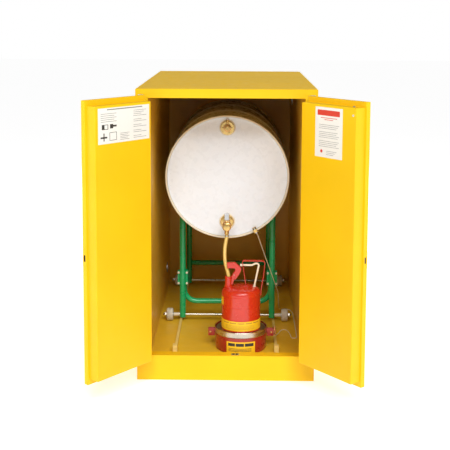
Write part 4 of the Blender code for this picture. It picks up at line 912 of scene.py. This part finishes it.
def safety_can():
    centre = (CAN_X, CAN_Y, 0)
    r = CAN_R
    bead = 0.0012
    profile = [(0, CAN_TOP), (0.03, CAN_TOP - 0.001), (0.052, CAN_TOP - 0.0034), (0.068, CAN_TOP - 0.007),
               (0.076, CAN_TOP - 0.0096), (0.0805, CAN_TOP - 0.0122), (0.0846, CAN_TOP - 0.0162),
               (0.0872, CAN_TOP - 0.0205), (0.0888, CAN_TOP - 0.0256), (r, CAN_TOP - 0.03)]
    for z in (0.3485, 0.3, 0.2455):
        profile += [(r, z), (r + bead * 0.7, z - 0.0008), (r + bead, z - 0.0025),
                    (r + bead * 0.7, z - 0.0042), (r, z - 0.005)]
    profile += [(r, 0.2), (r + 0.001, CAN_LOW + 0.006), (r + 0.001, CAN_LOW + 0.0015), (r - 0.001, CAN_LOW),
                (r - 0.004, CAN_LOW + 0.0015), (0, CAN_LOW + 0.0025)]
    neck = turned([
        (0.0128, NECK_TOP), (0.0165, NECK_TOP), (0.0178, NECK_TOP - 0.001), (0.018, NECK_TOP - 0.0045),
        (0.0166, NECK_TOP - 0.006), (0.016, NECK_TOP - 0.012), (0.0164, CAN_TOP + 0.006),
        (0.0195, CAN_TOP - 0.006), (0, CAN_TOP - 0.01), (0, NECK_TOP - 0.03), (0.0128, NECK_TOP - 0.03),
    ], (NECK_X, CAN_Y, 0), Z, 48)
    ears = []
    for dy in (-0.0112, 0.0112):
        ears.append(outline([(0.0225, 0.392), (0.03, 0.392), (0.04, 0.43), (0.04, 0.442), (0.033, 0.444),
                             (0.0262, 0.43)], 0.0018,
                            upright(0, CAN_Y + dy + 0.0009, 0), 0.0006))
    rivet = pin((LEVER_X, CAN_Y - 0.0135, LEVER_Z), (LEVER_X, CAN_Y + 0.0135, LEVER_Z), 0.0024, 16)
    piece("can_shell", "cabinet", RED, [turned(profile, centre, Z, 112), neck] + ears, ("can_body",),
          soft=50)
    piece("can_hinge_pin", "cabinet", STEEL, [rivet])
    band = turned([(r + 0.0002, 0.2385), (r + 0.001, 0.238), (r + 0.001, 0.1945), (r + 0.0002, 0.194)],
                  centre, Z, 112, ring=True)
    piece("can_band", "cabinet", BAND, [band])
    marks = [arc_patch((CAN_X, CAN_Y), r + 0.0009, 0.0003, 0.228, 0.2325, start, start + 20, 10)
             for start in (-148, -124, -100, -76, -52)]
    marks += [arc_patch((CAN_X, CAN_Y), r + 0.0009, 0.0003, z, z + 0.0011, -140, -48, 24)
              for z in (0.204, 0.209, 0.214, 0.219)]
    piece("can_band_marks", "cabinet", PRINT_BROWN, marks)
    tag = arc_patch((CAN_X, CAN_Y), r + 0.0001, 0.0005, 0.303, 0.34, -176.0, -154.0, 14)
    piece("can_tag", "cabinet", BAND, [tag])
    side = CAN_X + r + 0.0035 / 2 + 0.0004
    handle = strap([(0.0903, CAN_TOP + 0.0004), (0.073, 0.4965), (0.0775, 0.501), (0.169, 0.501),
                    (0.1762, 0.493),
                    (0.17, 0.43), (side + 0.0008, 0.372), (side, 0.356), (side, 0.34)], 0.0035, 0.011, CAN_Y)
    foot = block((0.08, CAN_Y - 0.011, CAN_TOP - 0.0022), (0.101, CAN_Y + 0.011, CAN_TOP + 0.0012), 0.001, 3)
    rivets = [dome(0.0014, 0.002, 0.0011, 0.0032, (side + 0.0017, CAN_Y, z), X, 20) for z in (0.346, 0.353)]
    piece("can_strap", "cabinet", RED, [handle, foot] + rivets, ("can_handle",))
    spout = rounded([(0.064, CAN_Y, TUBE_Z), (0.1172, CAN_Y, TUBE_Z), (0.134, CAN_Y, 0.4885),
                     (0.15, CAN_Y, 0.487), (0.1285, CAN_Y, 0.3815)], 0.01, 12)
    piece("can_sleeve", "cabinet", CREAM, [swept(spout, 0.0045, 24)], ("can_tube",))
    ends = [turned([(0.0035, 0.0105), (0.0056, 0.01), (0.006, 0.008), (0.006, 0.001), (0.0054, 0),
                    (0.0035, 0)], (0.0632, CAN_Y, TUBE_Z), X, 24, ring=True),
            turned([(0.0046, 0.005), (0.0062, 0.0045), (0.007, 0), (0.0046, 0)],
                   (0.1282, CAN_Y, CAN_TOP - 0.0042), Z, 24, ring=True)]
    piece("can_sleeve_ferrules", "cabinet", CREAM_RIM, ends, slot="cream_tube")

    view = [(0.0015, 0.486), (0.004, 0.492), (0.04, 0.4925), (0.0665, 0.469), (0.069, 0.461), (0.06, 0.439),
            (0.042, 0.413), (0.0375, 0.413), (0.0285, 0.434), (0.033, 0.442), (0.0425, 0.4585),
            (0.036, 0.466), (0.011, 0.466)]
    cheek = upright(0, CAN_Y, 0)
    cheeks = [outline(view, 0.0024, Matrix.Translation((0, dy, 0)) @ cheek, 0.0007)
              for dy in (0.0085, -0.0061)]
    back = [(0.004, 0.4905), (0.0395, 0.4905), (0.0655, 0.4675), (0.0672, 0.461), (0.0585, 0.4395),
            (0.0412, 0.415)]
    web = strap(back, 0.0026, 0.0078, CAN_Y)
    section = [(0, 0.465), (1.0, 0.465), (1.1, 0.47), (1.0, 0.476), (0, 0.479)]
    lid = outline([(0.0035 + 0.028 * u, v) for u, v in section], 0.014,
                  Matrix.Translation((0, 0.007, 0)) @ cheek, 0.002)
    piece("can_lid_lever", "can_lever", RED, cheeks + [web, lid], ("can_lever",))
    seal = turned([(0, 0.0022), (0.0068, 0.0022), (0.0074, 0.001), (0.0074, 0), (0, 0)],
                  (0.018, CAN_Y, 0.4655), -Z, 32)
    piece("can_lid_seal", "can_lever", BLACK, [seal])


# ---- hose and wire ----
def bond_clamp():
    place = Matrix.Translation((DRUM_RADIUS * cos(CHIME_ANGLE), DRUM_FRONT,
                                DRUM_Z + DRUM_RADIUS * sin(CHIME_ANGLE)))
    place = place @ Matrix.Rotation(-CHIME_ANGLE, 4, "Y")
    parts = [block((-0.022, -0.013, -0.009), (0.008, -0.006, 0.009), 0.0016, 3),
             block((0.001, -0.013, -0.009), (0.008, 0.011, 0.009), 0.0016, 3),
             block((-0.022, -0.013, -0.009), (-0.0115, 0.009, 0.009), 0.0016, 3)]
    piece("bond_clamp_jaws", "cradle", BRASS, parts, ("bond_clamp",), world=place)
    screw = [pin((-0.0165, -0.0128, 0), (-0.0165, -0.015, 0), 0.0042, 16),
             nut((0.0045, -0.013, 0), -Y, 0.008, 0.003)]
    piece("bond_clamp_screw", "cradle", STEEL, screw, world=place)


def lines():
    lie = FLOOR + WIRE_RADIUS + 2 * GAP
    hose = smooth_route([
        (0, FAUCET_Y, FAUCET_Z - OUTLET - GAP), (0, FAUCET_Y, FAUCET_Z - OUTLET - 0.016),
        (-0.008, FAUCET_Y - 0.02, 0.545), (-0.006, FAUCET_Y - 0.045, 0.49),
        (NECK_X - 0.001, CAN_Y + 0.002, 0.434), (NECK_X, CAN_Y, 0.402),
    ], 0.006)
    tube = piece("drain_hose_tan", "cradle", TAN, [swept(hose, HOSE_RADIUS, 28)], ("drain_hose",),
                 blend=("cradle", "cabinet", hose[3], hose[-15]))
    length_of(hose)
    top = hose[0]
    clip = turned([(0.0081, 0.0035), (0.009, 0.0035), (0.0094, 0), (0.009, -0.0035), (0.0081, -0.0035)],
                  (top.x, top.y, top.z - 0.0085), Z, 32, ring=True)
    screw = block((top.x - 0.004, top.y - 0.0125, top.z - 0.0115),
                  (top.x + 0.004, top.y - 0.0085, top.z - 0.0055), 0.0008)
    piece("hose_clip", "cradle", STEEL, [clip, screw])

    reach = DRUM_RADIUS + 0.01
    knots = [
        (reach * cos(CHIME_ANGLE) + 0.001, DRUM_FRONT - 0.008, DRUM_Z + reach * sin(CHIME_ANGLE) - 0.001),
        (0.181, FRONT + 0.42, 0.468), (0.2215, FRONT + 0.48, 0.346), (0.24, FRONT + 0.53, 0.285),
        (0.2535, FRONT + 0.572, 0.235), (0.2605, FRONT + 0.64, 0.152), (0.267, FRONT + 0.7, 0.116),
        (0.28, FRONT + 0.742, lie), (0.3, FRONT + 0.757, lie), (0.32, FRONT + 0.74, lie),
        (0.333, FRONT + 0.69, lie), (0.3345, FRONT + 0.6, lie), (0.3345, FRONT + 0.5, lie),
        (0.3345, FRONT + 0.4, lie), (0.3342, FRONT + 0.34, lie), (0.333, FRONT + 0.3085, lie),
        (0.3278, FRONT + 0.2955, lie), (0.32, FRONT + 0.2925, lie), (0.3122, FRONT + 0.2958, lie),
        (0.3074, FRONT + 0.31, lie), (0.3045, FRONT + 0.35, lie), (0.2975, FRONT + 0.388, lie),
        (0.2895, FRONT + 0.4105, lie), (0.278, FRONT + 0.419, lie), (0.266, FRONT + 0.412, lie),
        (0.2575, FRONT + 0.39, lie), (0.248, FRONT + 0.35, 0.101), (0.2385, FRONT + 0.3, 0.112),
        (0.231, FRONT + 0.245, 0.127), (0.2255, CAN_Y + 0.025, 0.148),
        (CAN_X + LUG_REACH + 0.0055, CAN_Y + 0.0095, LUG_Z),
    ]
    wire = [Vector((x, y, max(z, lie))) for x, y, z in smooth_route(knots, 0.006)]
    strand = piece("bond_wire_coated", "cradle", WIRE, [swept(wire, WIRE_RADIUS, 14)], ("bond_wire",),
                   blend=("cradle", "cabinet", (0.2, FRONT + 0.45, 0.45), (0.2, FRONT + 0.45, 0.17)))
    length_of(wire)


# ---- studio ----
WORLD_LIGHT = 0.25
SUN_LIGHT = 1.7
SUN_WAY = (-0.22, 0.72, -0.66)
LIGHTS = (
    ("softbox", (-0.7, -3.9, 3.1), (0, -0.5, 0.5), (0.7, 0.5), 40.0),
    ("left_fill", (-4.6, 0.2, 1.7), (0, 0, 0.7), (2.4, 2.0), 85.0),
    ("right_fill", (4.6, 0.2, 1.7), (0, 0, 0.7), (2.4, 2.0), 85.0),
    ("back_fill", (0, 5.2, 1.7), (0, 0.6, 0.7), (2.6, 2.0), 130.0),
)


def studio():
    floor = bpy.data.objects.new("studio_floor", bpy.data.meshes.new("studio_floor"))
    bm = bmesh.new()
    bmesh.ops.create_grid(bm, x_segments=1, y_segments=1, size=30.0)
    bm.to_mesh(floor.data)
    bm.free()
    pale = finish_of("studio_pale", (0.92, 0.92, 0.92), 0.9, shade=0.005, peel=0.0)
    pale.node_tree.nodes["Principled BSDF"].inputs["Emission Color"].default_value = (1.0, 1.0, 1.0, 1.0)
    pale.node_tree.nodes["Principled BSDF"].inputs["Emission Strength"].default_value = 0.42
    pale.node_tree.nodes["Principled BSDF"].inputs["Specular IOR Level"].default_value = 0.0
    floor.data.materials.append(pale)
    floor.location.z = -0.0005
    bpy.context.scene.collection.objects.link(floor)
    world = bpy.data.worlds.new("studio_world")
    world.use_nodes = True
    tree = world.node_tree
    ray = tree.nodes.new("ShaderNodeLightPath").outputs["Is Camera Ray"]
    seen = add(tree, "ShaderNodeMapRange", Value=ray)
    seen.inputs["To Min"].default_value = WORLD_LIGHT
    seen.inputs["To Max"].default_value = 1.0
    tree.nodes["Background"].inputs["Color"].default_value = (1.0, 1.0, 1.0, 1.0)
    tree.links.new(seen.outputs["Result"], tree.nodes["Background"].inputs["Strength"])
    bpy.context.scene.world = world
    bpy.context.scene.view_settings.view_transform = "Standard"
    sun = bpy.data.lights.new("soft_sun", "SUN")
    sun.energy, sun.angle = SUN_LIGHT, radians(32)
    lamp = bpy.data.objects.new("soft_sun", sun)
    lamp.rotation_mode = "QUATERNION"
    lamp.rotation_quaternion = Vector(SUN_WAY).to_track_quat("-Z", "Y")
    bpy.context.scene.collection.objects.link(lamp)
    for name, place, aim, size, power in LIGHTS:
        data = bpy.data.lights.new(name, "AREA")
        data.shape = "RECTANGLE"
        data.size, data.size_y = size
        data.energy = power
        lamp = bpy.data.objects.new(name, data)
        lamp.location = place
        lamp.rotation_mode = "QUATERNION"
        lamp.rotation_quaternion = (Vector(aim) - Vector(place)).to_track_quat("-Z", "Y")
        lamp.visible_camera = False
        lamp.visible_glossy = name == "softbox"
        bpy.context.scene.collection.objects.link(lamp)


def camera():
    pitch, yaw, roll = radians(7.052), radians(0.88), radians(0.246)
    right = Vector((cos(yaw), sin(yaw), 0))
    ahead_level = Vector((-sin(yaw), cos(yaw), 0))
    ahead = ahead_level * cos(pitch) - Z * sin(pitch)
    up = ahead_level * sin(pitch) + Z * cos(pitch)
    across = right * cos(roll) + up * sin(roll)
    over = up * cos(roll) - right * sin(roll)
    data = bpy.data.cameras.new("camera")
    data.sensor_width, data.lens = 36.0, 78.32
    data.shift_y = -0.2
    data.clip_end = 100.0
    made = bpy.data.objects.new("camera", data)
    axes = Matrix((across, over, -ahead)).transposed().to_4x4()
    made.matrix_world = Matrix.Translation((0.0583, FRONT - 4.1936, 1.6199)) @ axes
    bpy.context.scene.collection.objects.link(made)
    bpy.context.scene.camera = made


shell()
side_vent(-1, "side_vent_left", 0.23)
side_vent(1, "side_vent_right", 1.16)
hinge(-1, "left")
hinge(1, "right")
left_door()
right_door()
drum()
drum_vent()
faucet()
cradle()
running_gear()
drip_pan()
safety_can()
bond_clamp()
lines()
studio()
camera()
bpy.context.view_layer.update()
